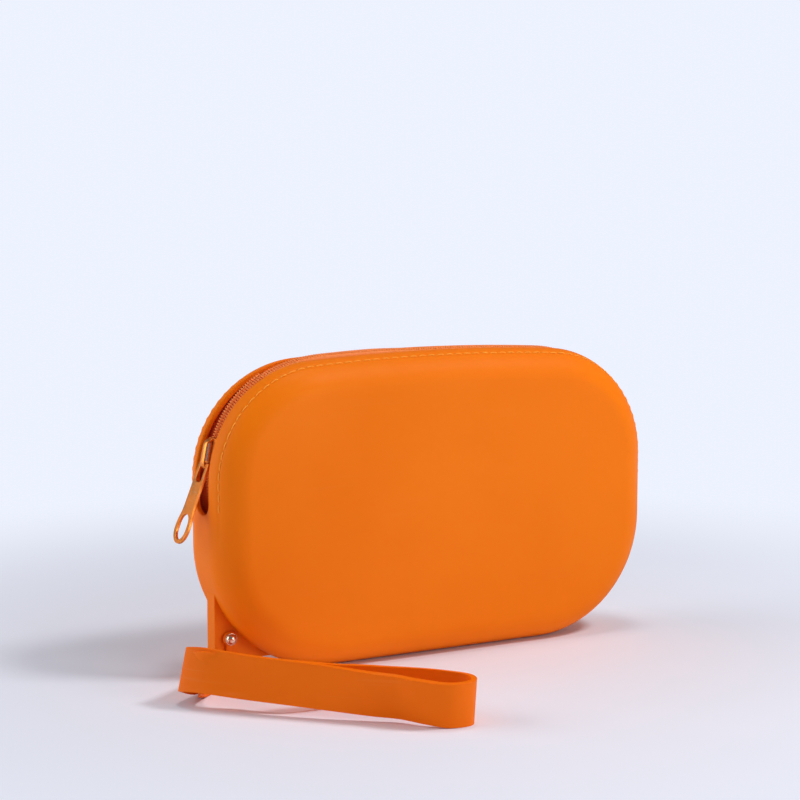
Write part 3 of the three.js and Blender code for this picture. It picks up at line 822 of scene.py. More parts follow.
def draw_outline(bm, rim):
    """The pouch's outline, with a corner at each end of the mouth."""
    corner = QUARTER - rim.crown_angle
    pen = Pen(bm, -rim.bottom_x, 0.0)
    pen.line(rim.bottom_x, 0.0)
    pen.arc(rim.bottom_x, rim.bottom, QUARTER, CORNER_STEPS)
    pen.line(rim.half_width, rim.mouth_z)
    pen.line(rim.half_width, rim.top_z)
    pen.arc(rim.top_x, rim.top_z, corner, CORNER_STEPS)
    pen.arc(0.0, rim.crown_z, 2.0 * rim.crown_angle, CROWN_STEPS)
    pen.arc(-rim.top_x, rim.top_z, corner, CORNER_STEPS)
    pen.line(-rim.half_width, rim.mouth_z)
    pen.line(-rim.half_width, rim.bottom)
    pen.arc(-rim.bottom_x, rim.bottom, QUARTER, CORNER_STEPS)
    pen.close()


def crown_panels(bm, sizes):
    """Raises the two flat panels a little, ring by ring."""
    for panel in [face for face in bm.faces if len(face.verts) > STRIP_SIDES]:
        for _ in range(PANEL_RINGS):
            bmesh.ops.inset_region(
                bm, faces=[panel], thickness=sizes.panel_ring, depth=sizes.panel_rise, use_even_offset=True
            )


def sink_seam(bm, rim, sizes):
    """Presses the ring of the rounded edge that lies nearest the seam into a channel."""
    turn = math.asin((sizes.seam_inset + NEAR) / rim.round)
    ring = round(turn / QUARTER * ROUND_STEPS)
    across = rim.flat_half + rim.round * math.sin(ring / ROUND_STEPS * QUARTER)
    bm.normal_update()
    for vert in bm.verts:
        if abs(abs(vert.co.y) - across) < SEAM_NEAR and vert.co.z > rim.mouth_z - NEAR:
            vert.co -= vert.normal * sizes.seam_depth


def round_mouth_ends(bm, rim, sizes):
    """Bows the two straight ends of the mouth."""

    def at_end(vert):
        return abs(vert.co.z - rim.mouth_z) < NEAR and abs(vert.co.y) < rim.flat_half + NEAR

    ends = [edge for edge in bm.edges if all(at_end(vert) for vert in edge.verts)]
    bmesh.ops.subdivide_edges(bm, edges=ends, cuts=MOUTH_CUTS)
    for vert in bm.verts:
        if at_end(vert):
            bow = 1.0 - math.sqrt(max(1.0 - (vert.co.y / rim.flat_half) ** 2, 0.0))
            vert.co.z += sizes.mouth_end * bow


def draw_hole(bm, strap):
    """The round hole that the rivet's post passes through."""
    hole = Pen(bm, strap.rivet_x + strap.rivet_hole, strap.rivet_z)
    hole.arc(strap.rivet_x, strap.rivet_z, ROUND, RING_STEPS)
    hole.close()


class POUCH_OT_shell(Operator):
    """Make the moulded shell: both panels, the rounded rim, the mouth and the seam's channels"""

    bl_idname = "pouch.shell"
    bl_label = "Moulded shell"

    def execute(self, context):
        sizes = context.scene.pouch_shell_sizes
        rim = Rim(sizes)
        bm = bmesh.new()
        draw_outline(bm, rim)
        bmesh.ops.edgeloop_fill(bm, edges=bm.edges[:])
        bmesh.ops.translate(bm, verts=bm.verts[:], vec=-rim.half_depth * ACROSS)
        push_faces(bm, bm.faces[:], 2.0 * rim.half_depth * ACROSS)
        face_out(bm)
        edges = [edge for edge in bm.edges if abs(edge.verts[0].co.y - edge.verts[1].co.y) < NEAR]
        cut_round(bm, edges, rim.round, ROUND_STEPS, clamp=False)
        crown_panels(bm, sizes)
        middles = [(face, face.calc_center_median()) for face in bm.faces]
        mouth = [face for face, at in middles if abs(at.y) < NEAR and at.z > rim.mouth_z]
        bmesh.ops.delete(bm, geom=mouth, context="FACES")
        round_mouth_ends(bm, rim, sizes)
        sink_seam(bm, rim, sizes)
        piece = add_piece("moulded_shell", bm, "pouch", "shell_silicone", ["pouch_shell"])
        give_wall(piece, sizes.wall, INWARD)
        round_edges(piece, sizes.lip_round, limit=LIP_LIMIT)
        return {"FINISHED"}


class POUCH_OT_lug(Operator):
    """Make the corner lug that carries the strap"""

    bl_idname = "pouch.lug"
    bl_label = "Corner lug"

    def execute(self, context):
        sizes = context.scene.pouch_shell_sizes
        strap = context.scene.pouch_strap_sizes
        rim = Rim(sizes)
        root = rim.bottom - sizes.wall / 2
        side_x = strap.rivet_x - sizes.lug_side
        foot_z = strap.rivet_z - sizes.lug_foot
        upper = math.acos((-rim.bottom_x - side_x) / root)
        lower = math.asin((rim.bottom - foot_z) / root)
        bm = bmesh.new()
        pen = Pen(bm, side_x, rim.bottom - root * math.sin(upper))
        pen.arc(-rim.bottom_x, rim.bottom, lower - upper, LUG_STEPS)
        pen.line(side_x + sizes.lug_corner, foot_z)
        pen.arc(side_x + sizes.lug_corner, foot_z + sizes.lug_corner, -QUARTER)
        pen.close()
        draw_hole(bm, strap)
        thicken(bm, -sizes.lug_half, sizes.lug_half)
        piece = add_piece("corner_lug", bm, "pouch", "shell_silicone")
        round_edges(piece, sizes.lug_round)
        return {"FINISHED"}


def tape_depth(rim, shell, sizes, run, across):
    """Depth of the tape: under the coil, then rising or falling to its seat under the shell."""
    base = crest_depth(rim, sizes, run) + sizes.coil_height + sizes.gap
    seat = rim.drop(across, shell.wall) + sizes.gap
    if across <= sizes.coil_outer:
        return base
    weight = (across - sizes.coil_outer) / (rim.flat_half + shell.seam_inset - sizes.coil_outer)
    return max(mixed(base, seat, min(weight, 1.0)), seat)


def build_tape(rim, shell, sizes, word, side):
    """One tape, laid along the mouth from its inner edge to its seat under the shell."""
    run_half = rim.mouth_run + sizes.tape_tail
    bm = bmesh.new()
    bmesh.ops.create_grid(bm, x_segments=RUN_STEPS, y_segments=TAPE_ROWS, size=1.0)
    chart = bm.loops.layers.uv.new("tape")
    for vert in bm.verts:
        run = vert.co.x * run_half
        across = mixed(sizes.tape_inner, sizes.tape_outer, (1.0 + side * vert.co.y) / 2.0)
        vert.co.z = across
        vert.co.x = run
    for face in bm.faces:
        for loop in face.loops:
            loop[chart].uv = (loop.vert.co.x, loop.vert.co.z)
    for vert in bm.verts:
        run, across = vert.co.x, vert.co.z
        depth = tape_depth(rim, shell, sizes, run, across)
        vert.co = rim.frame(run, depth) @ (side * across * ACROSS)
    face_out(bm)
    piece = add_piece(f"tape_half_{word}", bm, "pouch", "woven_tape", [f"zip_tape_{word}"])
    give_wall(piece, sizes.tape_thick, INWARD)


class POUCH_OT_tapes(Operator):
    """Make the two woven tapes that carry the coil"""

    bl_idname = "pouch.tapes"
    bl_label = "Zip tapes"

    def execute(self, context):
        shell = context.scene.pouch_shell_sizes
        rim = Rim(shell)
        for word, side in SIDES:
            build_tape(rim, shell, context.scene.pouch_zip_sizes, word, side)
        return {"FINISHED"}


def bend_wire(bm, centre, axis, turn):
    """Bends a drawn ring round a centre into a closed length of wire."""
    bmesh.ops.spin(bm, geom=bm.edges[:], cent=centre, axis=axis, angle=turn, steps=WIRE_STEPS)
    bmesh.ops.holes_fill(bm, edges=bm.edges[:], sides=WIRE_SIDES)


def coil_turn(sizes, inner, side):
    """One slanted turn of wound nylon, arched over the tape."""
    bm = bmesh.new()
    half = (sizes.coil_outer - inner) / 2 - sizes.coil_wire
    foot = Matrix.Translation((0.0, half, 0.0))
    bmesh.ops.create_circle(bm, segments=WIRE_SIDES, radius=sizes.coil_wire, matrix=foot)
    bend_wire(bm, ORIGIN, ALONG, math.pi)
    tall = (sizes.coil_height - sizes.coil_wire) / half
    bmesh.ops.scale(bm, verts=bm.verts[:], vec=(1.0, 1.0, tall))
    slant = Matrix.Rotation(side * sizes.coil_slant, 4, "Z")
    middle = Matrix.Translation((0.0, side * (inner + sizes.coil_outer) / 2, 0.0))
    move(bm, middle @ slant)
    face_out(bm)
    return to_mesh("coil_turn", bm)


def add_core(bm, rim, sizes, side, run_half):
    """The cord inside a row: an arched strip along the chain, under the turns."""
    made = bmesh.ops.create_grid(bm, x_segments=RUN_STEPS, y_segments=CORE_ROWS, size=1.0)
    for vert in made["verts"]:
        run = vert.co.x * run_half
        turn = (1.0 - side * vert.co.y) * QUARTER
        across = side * (sizes.core_at + sizes.core_half * math.cos(turn))
        lift = sizes.core_height * math.sin(turn)
        foot = crest_depth(rim, sizes, run) + sizes.coil_height
        vert.co = rim.frame(run, foot - lift) @ (across * ACROSS)


def build_coil(rim, sizes, word, side):
    """One row of the coil, turn by turn, with the cord inside it."""
    run_half = rim.mouth_run - sizes.stop_length - 2.0 * sizes.gap - sizes.coil_wire
    count = int(2.0 * run_half / sizes.coil_pitch)
    shift = sizes.coil_pitch / 4 * side
    parted, meshed = [], []
    for index in range(count):
        run = -run_half + (index + 0.5) * sizes.coil_pitch + shift
        matrix = rim.frame(run, crest_depth(rim, sizes, run) + sizes.coil_height)
        (meshed if run > -sizes.meshed_from else parted).append(matrix)
    bm = bmesh.new()
    for inner, places in ((sizes.coil_inner, parted), (-sizes.coil_lap, meshed)):
        turn = coil_turn(sizes, inner, side)
        append_copies(bm, turn, places)
        bpy.data.meshes.remove(turn)
    add_core(bm, rim, sizes, side, run_half)
    add_piece(f"coil_row_{word}", bm, "pouch", "wound_nylon", [f"zip_coil_{word}"])


class POUCH_OT_coils(Operator):
    """Make the two rows of wound nylon"""

    bl_idname = "pouch.coils"
    bl_label = "Zip coils"

    def execute(self, context):
        rim = Rim(context.scene.pouch_shell_sizes)
        for word, side in SIDES:
            build_coil(rim, context.scene.pouch_zip_sizes, word, side)
        return {"FINISHED"}


class POUCH_OT_stops(Operator):
    """Make the clamped stops at the ends of the chain"""

    bl_idname = "pouch.stops"
    bl_label = "End stops"

    def execute(self, context):
        sizes = context.scene.pouch_zip_sizes
        rim = Rim(context.scene.pouch_shell_sizes)
        for word, side in ENDS:
            run = side * (rim.mouth_run - sizes.gap - sizes.stop_length / 2)
            depth = crest_depth(rim, sizes, run) + sizes.coil_height / 2
            bm = bmesh.new()
            bmesh.ops.create_cube(bm, size=1.0)
            bmesh.ops.scale(
                bm, verts=bm.verts[:], vec=(sizes.stop_length, 2.0 * sizes.coil_outer, sizes.coil_height)
            )
            top = max(bm.faces, key=lambda face: face.normal.z)
            bmesh.ops.inset_region(bm, faces=[top], thickness=sizes.stop_inset, depth=sizes.stop_rise)
            cut_round(bm, bm.edges[:], sizes.stop_round, EDGE_STEPS)
            move(bm, rim.frame(run, depth))
            stands_for = [f"zip_stop_{word}"]
            add_piece(f"end_stop_{word}", bm, "pouch", "copper_plating", stands_for)
        return {"FINISHED"}


def stitch(sizes):
    """One stitch: a short arched length of thread that dips at both ends."""
    half = sizes.stitch_length / 2
    radius = (half**2 + sizes.stitch_sag**2) / (2.0 * sizes.stitch_sag)
    turn = math.asin(half / radius)
    bm = bmesh.new()
    facing = Matrix.Rotation(QUARTER, 4, "Y")
    bmesh.ops.create_circle(bm, segments=WIRE_SIDES, radius=sizes.thread, matrix=facing)
    centre = -radius * UP
    bmesh.ops.rotate(bm, verts=bm.verts[:], cent=centre, matrix=Matrix.Rotation(-turn, 3, "Y"))
    bend_wire(bm, centre, ACROSS, 2.0 * turn)
    face_out(bm)
    return to_mesh("stitch", bm)


class POUCH_OT_stitches(Operator):
    """Sew the seams that hold the tapes, one stitch at a time"""

    bl_idname = "pouch.stitches"
    bl_label = "Seam stitches"

    def execute(self, context):
        shell = context.scene.pouch_shell_sizes
        sizes = context.scene.pouch_zip_sizes
        rim = Rim(shell)
        across = rim.flat_half + shell.seam_inset
        tilt = math.asin(shell.seam_inset / rim.round)
        sunk = rim.drop(across)
        count = int(2.0 * rim.mouth_run / sizes.stitch_pitch)
        thread = stitch(sizes)
        for word, side in SIDES:
            lean = Matrix.Translation((0.0, side * across, 0.0)) @ Matrix.Rotation(-side * tilt, 4, "X")
            places = []
            for index in range(count):
                run = (index + 0.5 - count / 2) * sizes.stitch_pitch
                places.append(rim.frame(run, sunk) @ lean)
            bm = bmesh.new()
            append_copies(bm, thread, places)
            add_piece(f"stitches_{word}", bm, "pouch", "sewing_thread", [f"seam_thread_{word}"])
        bpy.data.meshes.remove(thread)
        return {"FINISHED"}


def slider_frame(scene):
    """Axes of the slider: X up along the chain, Z outwards, with the coil's crest at Z = 0."""
    sizes = scene.pouch_zip_sizes
    turn = scene.pouch_slider_sizes.turn
    outward = Vector((-math.cos(turn), 0.0, math.sin(turn)))
    centre = arc_centre(Rim(scene.pouch_shell_sizes), sizes, -1.0)
    return set_axes(centre + sizes.arc_radius * outward, outward)


def tapered_plate(bm, sizes, low, high):
    """A plate that narrows along the slider, with rounded corners."""
    ends = (
        (-sizes.half_length, -sizes.half_wide), (sizes.half_length, -sizes.half_narrow),
        (sizes.half_length, sizes.half_narrow), (-sizes.half_length, sizes.half_wide),
    )
    verts = [bm.verts.new((x, y, low)) for x, y in ends]
    face = bm.faces.new(verts)
    made = cut_round(bm, verts, sizes.corner, PLATE_CORNER_STEPS, affect="VERTICES")
    faces = {face} if face.is_valid else set()
    faces.update(item for vert in made["verts"] for item in vert.link_faces)
    push_faces(bm, list(faces), (high - low) * UP)


def upright(bm, corners, low, high):
    """A wall on a drawn foot."""
    face = bm.faces.new([bm.verts.new((x, y, low)) for x, y in corners])
    push_faces(bm, [face], (high - low) * UP)


class POUCH_OT_slider(Operator):
    """Make the cast slider: two plates, side flanges and the post between them"""

    bl_idname = "pouch.slider"
    bl_label = "Slider body"

    def execute(self, context):
        sizes = context.scene.pouch_slider_sizes
        gap = context.scene.pouch_zip_sizes.gap
        end, wide, narrow = sizes.half_length, sizes.half_wide, sizes.half_narrow
        bm = bmesh.new()
        tapered_plate(bm, sizes, gap, gap + sizes.plate)
        tapered_plate(bm, sizes, -sizes.under - sizes.plate, -sizes.under)
        reach = end - sizes.corner
        for side in (-1.0, 1.0):
            outer = [(-reach, side * wide), (reach, side * narrow)]
            inner = [(reach, side * (narrow - sizes.flange / 2)), (-reach, side * (wide - sizes.flange))]
            upright(bm, outer + inner, -sizes.flange_depth, gap + sizes.plate / 2)
        nose = [(-end, -sizes.post_half), (-end + sizes.post_length / 2, -sizes.post_half)]
        nose.append((-end + sizes.post_length, 0.0))
        nose.extend([(-end + sizes.post_length / 2, sizes.post_half), (-end, sizes.post_half)])
        upright(bm, nose, -sizes.under - sizes.plate / 2, gap + sizes.plate / 2)
        face_out(bm)
        move(bm, slider_frame(context.scene))
        piece = add_piece("cast_slider", bm, "slider", "copper_plating", ["slider_body"])
        round_edges(piece, sizes.edge)
        return {"FINISHED"}


class POUCH_OT_cover(Operator):
    """Make the arched cover that holds the pull's bar"""

    bl_idname = "pouch.cover"
    bl_label = "Slider cover"

    def execute(self, context):
        sizes = context.scene.pouch_slider_sizes
        bend = sizes.cover_top - sizes.cover_foot
        bm = bmesh.new()
        pen = Pen(bm, sizes.cover_end, sizes.cover_foot)
        pen.arc(sizes.cover_end - bend, sizes.cover_foot, QUARTER)
        pen.line(-sizes.cover_end + bend, sizes.cover_top)
        pen.arc(-sizes.cover_end + bend, sizes.cover_foot, QUARTER)
        ridge = bm.edges[:]
        for side in (-1.0, 1.0):
            edges = ridge
            for width, fall in COVER_RINGS:
                made = bmesh.ops.extrude_edge_only(bm, edges=edges)["geom"]
                edges = picked(made, BMEdge)
                verts = picked(made, BMVert)
                bmesh.ops.translate(bm, verts=verts, vec=side * width * sizes.cover_half * ACROSS)
                for vert in verts:
                    lift = (vert.co.z - sizes.cover_foot) / bend
                    vert.co.z -= fall * sizes.cover_dome * max(lift, 0.0)
        face_out(bm)
        if max(bm.faces, key=lambda face: face.calc_center_median().z).normal.z < 0.0:
            bmesh.ops.reverse_faces(bm, faces=bm.faces[:])
        move(bm, slider_frame(context.scene))
        piece = add_piece("arched_cover", bm, "slider", "copper_plating", ["slider_cover"])
        give_wall(piece, sizes.cover_wall, INWARD)
        round_edges(piece, sizes.edge / 2)
        return {"FINISHED"}


def draw_pull(bm, sizes):
    """Outline, window and hole of the pull, from its bar at the origin to its tip along -X."""
    tip, neck, bar = sizes.pull_half, sizes.pull_neck, sizes.pull_bar
    ring = -sizes.pull_length + tip
    flare = ring + sizes.pull_flare
    widen = tip - neck
    sweep = (sizes.pull_flare**2 + widen**2) / (4.0 * widen)
    turn = 2.0 * math.atan(widen / sizes.pull_flare)
    pen = Pen(bm, bar, -neck)
    pen.line(bar, neck)
    pen.line(flare, neck)
    pen.arc(flare, neck + sweep, -turn)
    pen.arc(ring, tip - sweep, turn)
    pen.arc(ring, 0.0, math.pi, RING_STEPS)
    pen.arc(ring, sweep - tip, turn)
    pen.arc(flare, -neck - sweep, -turn)
    pen.close()
    arm = neck - sizes.pull_arm
    low = -bar - sizes.pull_window
    window = Pen(bm, -bar, -arm)
    window.line(-bar, arm)
    window.line(low + arm / 2, arm)
    window.arc(low + arm / 2, arm / 2, QUARTER)
    window.line(low, -arm / 2)
    window.arc(low + arm / 2, -arm / 2, QUARTER)
    window.close()
    hole_low = -sizes.pull_length + sizes.pull_rim + sizes.pull_hole
    hole_high = hole_low + sizes.pull_hole_length - 2.0 * sizes.pull_hole
    hole = Pen(bm, hole_high, -sizes.pull_hole)
    hole.arc(hole_high, 0.0, math.pi, HOLE_STEPS)
    hole.line(hole_low, sizes.pull_hole)
    hole.arc(hole_low, 0.0, math.pi, HOLE_STEPS)
    hole.close()


class POUCH_OT_pull(Operator):
    """Make the stamped pull with its window and its ring"""

    bl_idname = "pouch.pull"
    bl_label = "Pull tab"

    def execute(self, context):
        sizes = context.scene.pouch_slider_sizes
        bm = bmesh.new()
        draw_pull(bm, sizes)
        thicken(bm, -sizes.pull_thick / 2, sizes.pull_thick / 2)
        pivot = Matrix.Translation((sizes.pivot_x, 0.0, sizes.pivot_z)) @ Matrix.Rotation(sizes.lean, 4, "Y")
        move(bm, slider_frame(context.scene) @ pivot @ LAY_FLAT)
        piece = add_piece("stamped_pull", bm, "pull", "copper_plating", ["pull_tab"])
        round_edges(piece, sizes.edge)
        return {"FINISHED"}


def turned_piece(name, profile, strap, node):
    """A turned metal piece on the rivet's axis, from a profile of radius and place."""
    bm = bmesh.new()
    verts = [bm.verts.new((radius, along, 0.0)) for radius, along in profile]
    for first, second in zip(verts, verts[1:]):
        bm.edges.new((first, second))
    bmesh.ops.spin(
        bm, geom=bm.edges[:], cent=ORIGIN, axis=ACROSS, angle=ROUND, steps=TURNED_STEPS, use_merge=True
    )
    bmesh.ops.remove_doubles(bm, verts=bm.verts[:], dist=NEAR)
    face_out(bm)
    bmesh.ops.translate(bm, verts=bm.verts[:], vec=(strap.rivet_x, 0.0, strap.rivet_z))
    piece = add_piece(name, bm, "pouch", "bright_steel", [node])
    round_edges(piece, strap.rivet_edge, TURNED_EDGE_STEPS, TURNED_LIMIT)


class POUCH_OT_rivet(Operator):
    """Turn the rivet and the collar behind the lug"""

    bl_idname = "pouch.rivet"
    bl_label = "Rivet and collar"

    def execute(self, context):
        strap = context.scene.pouch_strap_sizes
        back = strap.collar_front + strap.collar_thick
        profile = []
        for step in range(DOME_STEPS + 1):
            turn = step / DOME_STEPS * QUARTER
            along = strap.rivet_base - strap.rivet_flange - strap.rivet_rise * math.cos(turn)
            profile.append((strap.rivet_dome * math.sin(turn), along))
        profile.extend(
            (
                (strap.rivet_head, strap.rivet_base - strap.rivet_flange),
                (strap.rivet_head, strap.rivet_base),
                (strap.rivet_post, strap.rivet_base),
                (strap.rivet_post, back),
                (0.0, back),
            )
        )
        turned_piece("turned_rivet", profile, strap, "strap_rivet")
        ring = (
            (strap.rivet_hole, strap.collar_front),
            (strap.rivet_head, strap.collar_front),
            (strap.rivet_head, back),
            (strap.rivet_hole, back),
            (strap.rivet_hole, strap.collar_front),
        )
        turned_piece("turned_collar", ring, strap, "rivet_collar")
        return {"FINISHED"}


def curve_through(points):
    """A smooth line through points, as a chain of Bezier spans with tangents set by the chords."""
    line = []
    ends = [2.0 * points[0] - points[1], *points, 2.0 * points[-1] - points[-2]]
    for p0, p1, p2, p3 in zip(ends, ends[1:], ends[2:], ends[3:]):
        before, span, after = (math.sqrt((b - a).length) for a, b in ((p0, p1), (p1, p2), (p2, p3)))
        leave = ((p1 - p0) / before - (p2 - p0) / (before + span) + (p2 - p1) / span) * span
        arrive = ((p2 - p1) / span - (p3 - p1) / (span + after) + (p3 - p2) / after) * span
        line.extend(interpolate_bezier(p1, p1 + leave / 3, p2 - arrive / 3, p2, SPAN_STEPS)[:-1])
    line.append(points[-1])
    return line


def even_points(line, count):
    """Points at even steps of length along a line."""
    walked = [0.0]
    for first, second in zip(line, line[1:]):
        walked.append(walked[-1] + (second - first).length)
    points = []
    index = 0
    for step in range(count):
        target = walked[-1] * step / (count - 1)
        while index < len(line) - 2 and walked[index + 1] < target:
            index += 1
        weight = (target - walked[index]) / (walked[index + 1] - walked[index])
        points.append(line[index].lerp(line[index + 1], weight))
    return points, walked[-1]


def strap_route(sizes, lug_front):
    """The band's line on the floor, out along the outer layer and back along the inner one."""
    scale = sizes.reach / HUNDREDTHS
    start = Vector((sizes.rivet_x, lug_front, 0.0))
    outer = [start + Vector((x * scale, y * scale, lift * MM)) for x, y, lift in STRAP_ROUTE]
    inner = []
    for index in STRAP_INNER:
        onward = outer[index + 1] - outer[max(index - 1, 0)]
        aside = Vector((-onward.y, onward.x, 0.0)).normalized()
        inner.append(outer[index] + sizes.layers * aside)
        inner[-1].z = max(inner[-1].z - sizes.inner_drop, 0.0)
    return outer + inner


def strap_lean(sizes, guide, at):
    """How far the band's top leans in at a point of its route."""
    at_fold = 1.0 - eased((at - guide[STRAP_FOLD]).length, 0.0, sizes.fold_reach)
    at_front = 1.0 - eased((at - guide[STRAP_FRONT]).length, 0.0, sizes.front_reach)
    at_rear = 1.0 - eased((at - guide[STRAP_REAR]).length, 0.0, sizes.rear_reach)
    return sizes.fold_lean * at_fold - sizes.front_lean * at_front + sizes.rear_lean * at_rear


class POUCH_OT_strap(Operator):
    """Lay the wrist strap: one band in two layers, folded at the left and looped at the right"""

    bl_idname = "pouch.strap"
    bl_label = "Wrist strap"

    def execute(self, context):
        sizes = context.scene.pouch_strap_sizes
        guide = strap_route(sizes, -context.scene.pouch_shell_sizes.lug_half)
        last = STRAP_POINTS - 1
        route, total = even_points(curve_through(guide), STRAP_POINTS)
        bm = bmesh.new()
        bmesh.ops.create_grid(bm, x_segments=last, y_segments=STRAP_ROWS, size=1.0)
        for vert in bm.verts:
            index = round((vert.co.x + 1.0) / 2.0 * last)
            up = (vert.co.y + 1.0) / 2.0
            at = route[index]
            at.z = max(at.z, 0.0)
            onward = route[min(index + 1, last)] - route[max(index - 1, 0)]
            aside = Vector((-onward.y, onward.x, 0.0)).normalized()
            to_end = min(index, last - index) / last * total
            tall = mixed(sizes.tail, sizes.width, eased(to_end, 0.0, sizes.taper))
            lean = strap_lean(sizes, guide, at)
            vert.co = at + up * (lean * aside + tall * UP)
        face_out(bm)
        piece = add_piece("strap_band", bm, "strap", "strap_silicone", ["wrist_strap"])
        give_wall(piece, sizes.thick, CENTRED)
        round_edges(piece, sizes.edge)
        return {"FINISHED"}


class POUCH_OT_strap_eye(Operator):
    """Make the eye, neck and root that join the strap's tails under the rivet"""

    bl_idname = "pouch.strap_eye"
    bl_label = "Strap eye"

    def execute(self, context):
        sizes = context.scene.pouch_strap_sizes
        gap = context.scene.pouch_zip_sizes.gap
        x, z = sizes.rivet_x, sizes.rivet_z
        half = math.asin(sizes.neck / sizes.eye)
        meet = z - sizes.eye * math.cos(half)
        bm = bmesh.new()
        pen = Pen(bm, x + sizes.root, gap)
        pen.line(x + sizes.root, sizes.tail - sizes.root / 2)
        pen.line(x + sizes.neck, sizes.tail + sizes.root / 2)
        pen.line(x + sizes.neck, meet)
        pen.arc(x, z, ROUND - 2.0 * half, EYE_STEPS)
        pen.line(x - sizes.neck, sizes.tail + sizes.root / 2)
        pen.line(x - sizes.root, sizes.tail - sizes.root / 2)
        pen.line(x - sizes.root, gap)
        pen.close()
        draw_hole(bm, sizes)
        back = sizes.eye_front + sizes.eye_thick
        thicken(bm, sizes.eye_front, back)
        foot = [(x - sizes.root, back - sizes.root_depth), (x + sizes.root, back - sizes.root_depth)]
        foot.extend([(x + sizes.root, back - gap), (x - sizes.root, back - gap)])
        upright(bm, foot, gap, sizes.tail)
        face_out(bm)
        piece = add_piece("strap_eye", bm, "strap", "strap_silicone")
        round_edges(piece, sizes.eye_edge)
        return {"FINISHED"}


class POUCH_OT_lock(Operator):
    """Give the lock spring under the cover its steel finish"""

    bl_idname = "pouch.lock"
    bl_label = "Lock spring"

    def execute(self, context):
        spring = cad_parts["slider_lock_spring"]
        spring.data.materials.clear()
        spring.data.materials.append(finish("bright_steel"))
        return {"FINISHED"}


def floor_finish(sizes):
    """Pale floor with a faint drift of tone, fading into the backdrop at a distance."""
    material, tree, shader, spot = start_finish("pale_floor")
    deep = [sizes.floor_drift * value for value in sizes.floor]
    tone = drift_tone(tree, spot["Object"], sizes.floor, deep, scale=6.0)
    set_inputs(tree, shader, {"Base Color": tone["Color"], "Roughness": 0.7, "Specular IOR Level": 0.2})
    far = put(tree, "ShaderNodeVectorMath", {0: spot["Object"]}, operation="LENGTH")
    inputs = {"Value": far.outputs["Value"], "From Min": sizes.fade_near, "From Max": sizes.fade_far}
    fade = put(tree, "ShaderNodeMapRange", inputs, interpolation_type="SMOOTHSTEP")
    glow = put(tree, "ShaderNodeEmission", {"Color": (*sizes.backdrop, 1.0), "Strength": 1.0})
    inputs = {0: fade.outputs["Result"], 1: shader.outputs["BSDF"], 2: glow.outputs["Emission"]}
    both = put(tree, "ShaderNodeMixShader", inputs)
    set_inputs(tree, tree.nodes["Material Output"], {"Surface": both.outputs["Shader"]})
    return material


def fill_world(sizes):
    """Even light from all round, with a plain backdrop where the camera sees past the floor."""
    world = bpy.data.worlds.new("Studio")
    bpy.context.scene.world = world
    world.use_nodes = True
    tree = world.node_tree
    light = tree.nodes["Background"]
    set_inputs(tree, light, {"Color": (*sizes.ambient, 1.0), "Strength": sizes.ambient_power})
    seen = put(tree, "ShaderNodeBackground", {"Color": (*sizes.backdrop, 1.0), "Strength": 1.0})
    path = tree.nodes.new("ShaderNodeLightPath")
    inputs = {0: path.outputs["Is Camera Ray"], 1: light.outputs[0], 2: seen.outputs[0]}
    both = put(tree, "ShaderNodeMixShader", inputs)
    set_inputs(tree, tree.nodes["World Output"], {"Surface": both.outputs["Shader"]})


def soft_light(name, at, aim, size, strength):
    """A square soft light that faces a point."""
    data = bpy.data.lights.new(name, "AREA")
    data.energy = strength
    data.size = size
    light = bpy.data.objects.new(name, data)
    light.location = at
    light.rotation_mode = "QUATERNION"
    light.rotation_quaternion = (Vector(aim) - Vector(at)).to_track_quat("-Z", "Y")
    bpy.context.scene.collection.objects.link(light)


def look_through(sizes):
    """The camera at the photograph's viewing angle."""
    data = bpy.data.cameras.new("Camera")
    data.lens = sizes.camera_lens
    data.sensor_width = SENSOR_WIDTH
    camera = bpy.data.objects.new("Camera", data)
    camera.location = sizes.camera_at
    level = math.cos(sizes.camera_tilt)
    ahead = (math.sin(sizes.camera_turn) * level, math.cos(sizes.camera_turn) * level)
    forward = Vector((*ahead, -math.sin(sizes.camera_tilt)))
    camera.rotation_mode = "QUATERNION"
    camera.rotation_quaternion = forward.to_track_quat("-Z", "Y")
    bpy.context.scene.collection.objects.link(camera)
    bpy.context.scene.camera = camera


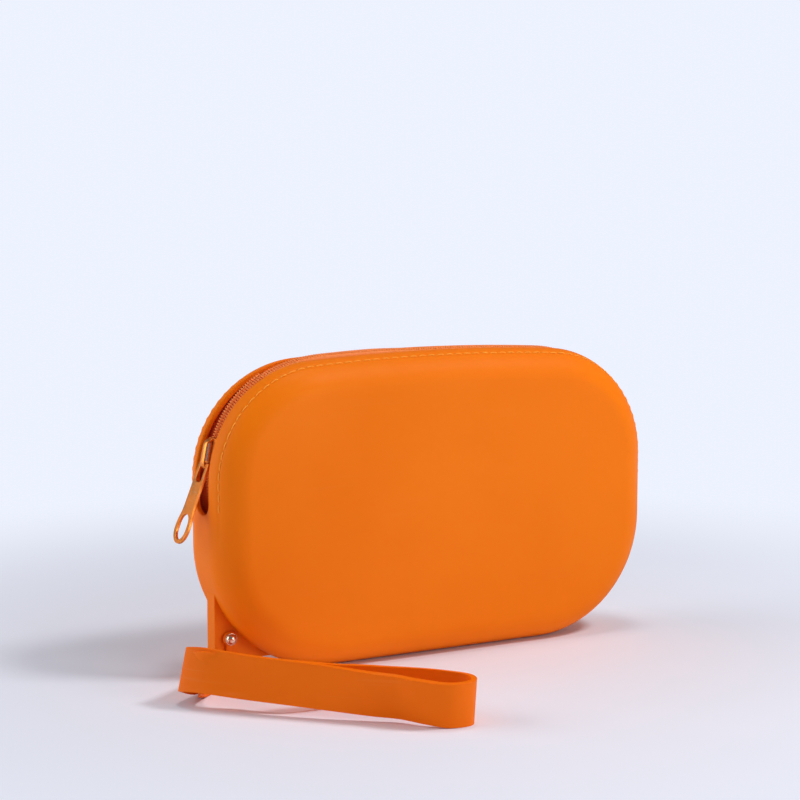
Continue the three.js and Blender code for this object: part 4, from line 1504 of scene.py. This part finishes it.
class POUCH_OT_stage(Operator):
    """Lay the floor, set the lights and place the camera"""

    bl_idname = "pouch.stage"
    bl_label = "Floor, light and camera"

    def execute(self, context):
        sizes = context.scene.pouch_stage
        bm = bmesh.new()
        bmesh.ops.create_grid(
            bm, x_segments=FLOOR_CELLS, y_segments=FLOOR_CELLS, size=sizes.floor_half
        )
        mesh = to_mesh("floor", bm)
        mesh.materials.append(floor_finish(sizes))
        floor = bpy.data.objects.new("floor", mesh)
        context.scene.collection.objects.link(floor)
        fill_world(sizes)
        for name, (at, aim, size) in LIGHTS.items():
            soft_light(name, at, aim, size, getattr(sizes, f"{name}_power"))
        look_through(sizes)
        context.scene.view_settings.view_transform = "Standard"
        return {"FINISHED"}


class POUCH_PT_sidebar(Panel):
    """Lists the pieces of the pouch in the order that they are made"""

    bl_idname = "POUCH_PT_sidebar"
    bl_label = "Silicone zip pouch"
    bl_space_type = "VIEW_3D"
    bl_region_type = "UI"
    bl_category = "Pouch"

    def draw(self, context):
        for operator in PIECES:
            self.layout.operator(operator.bl_idname)


SIZES = {
    "pouch_shell_sizes": ShellSizes,
    "pouch_zip_sizes": ZipSizes,
    "pouch_slider_sizes": SliderSizes,
    "pouch_strap_sizes": StrapSizes,
    "pouch_finishes": Finishes,
    "pouch_stage": StageSettings,
}
PIECES = (
    POUCH_OT_stage, POUCH_OT_shell, POUCH_OT_lug, POUCH_OT_tapes, POUCH_OT_coils, POUCH_OT_stops,
    POUCH_OT_stitches, POUCH_OT_slider, POUCH_OT_cover, POUCH_OT_lock, POUCH_OT_pull, POUCH_OT_rivet,
    POUCH_OT_strap, POUCH_OT_strap_eye,
)


def register():
    for group in (*SIZES.values(), *PIECES, POUCH_PT_sidebar):
        bpy.utils.register_class(group)
    for name, group in SIZES.items():
        setattr(bpy.types.Scene, name, PointerProperty(type=group))


def unregister():
    for name in SIZES:
        delattr(bpy.types.Scene, name)
    for group in (POUCH_PT_sidebar, *reversed(PIECES), *SIZES.values()):
        bpy.utils.unregister_class(group)


def main():
    register()
    for operator in PIECES:
        group, name = operator.bl_idname.split(".")
        getattr(getattr(bpy.ops, group), name)()


if __name__ == "__main__":
    main()
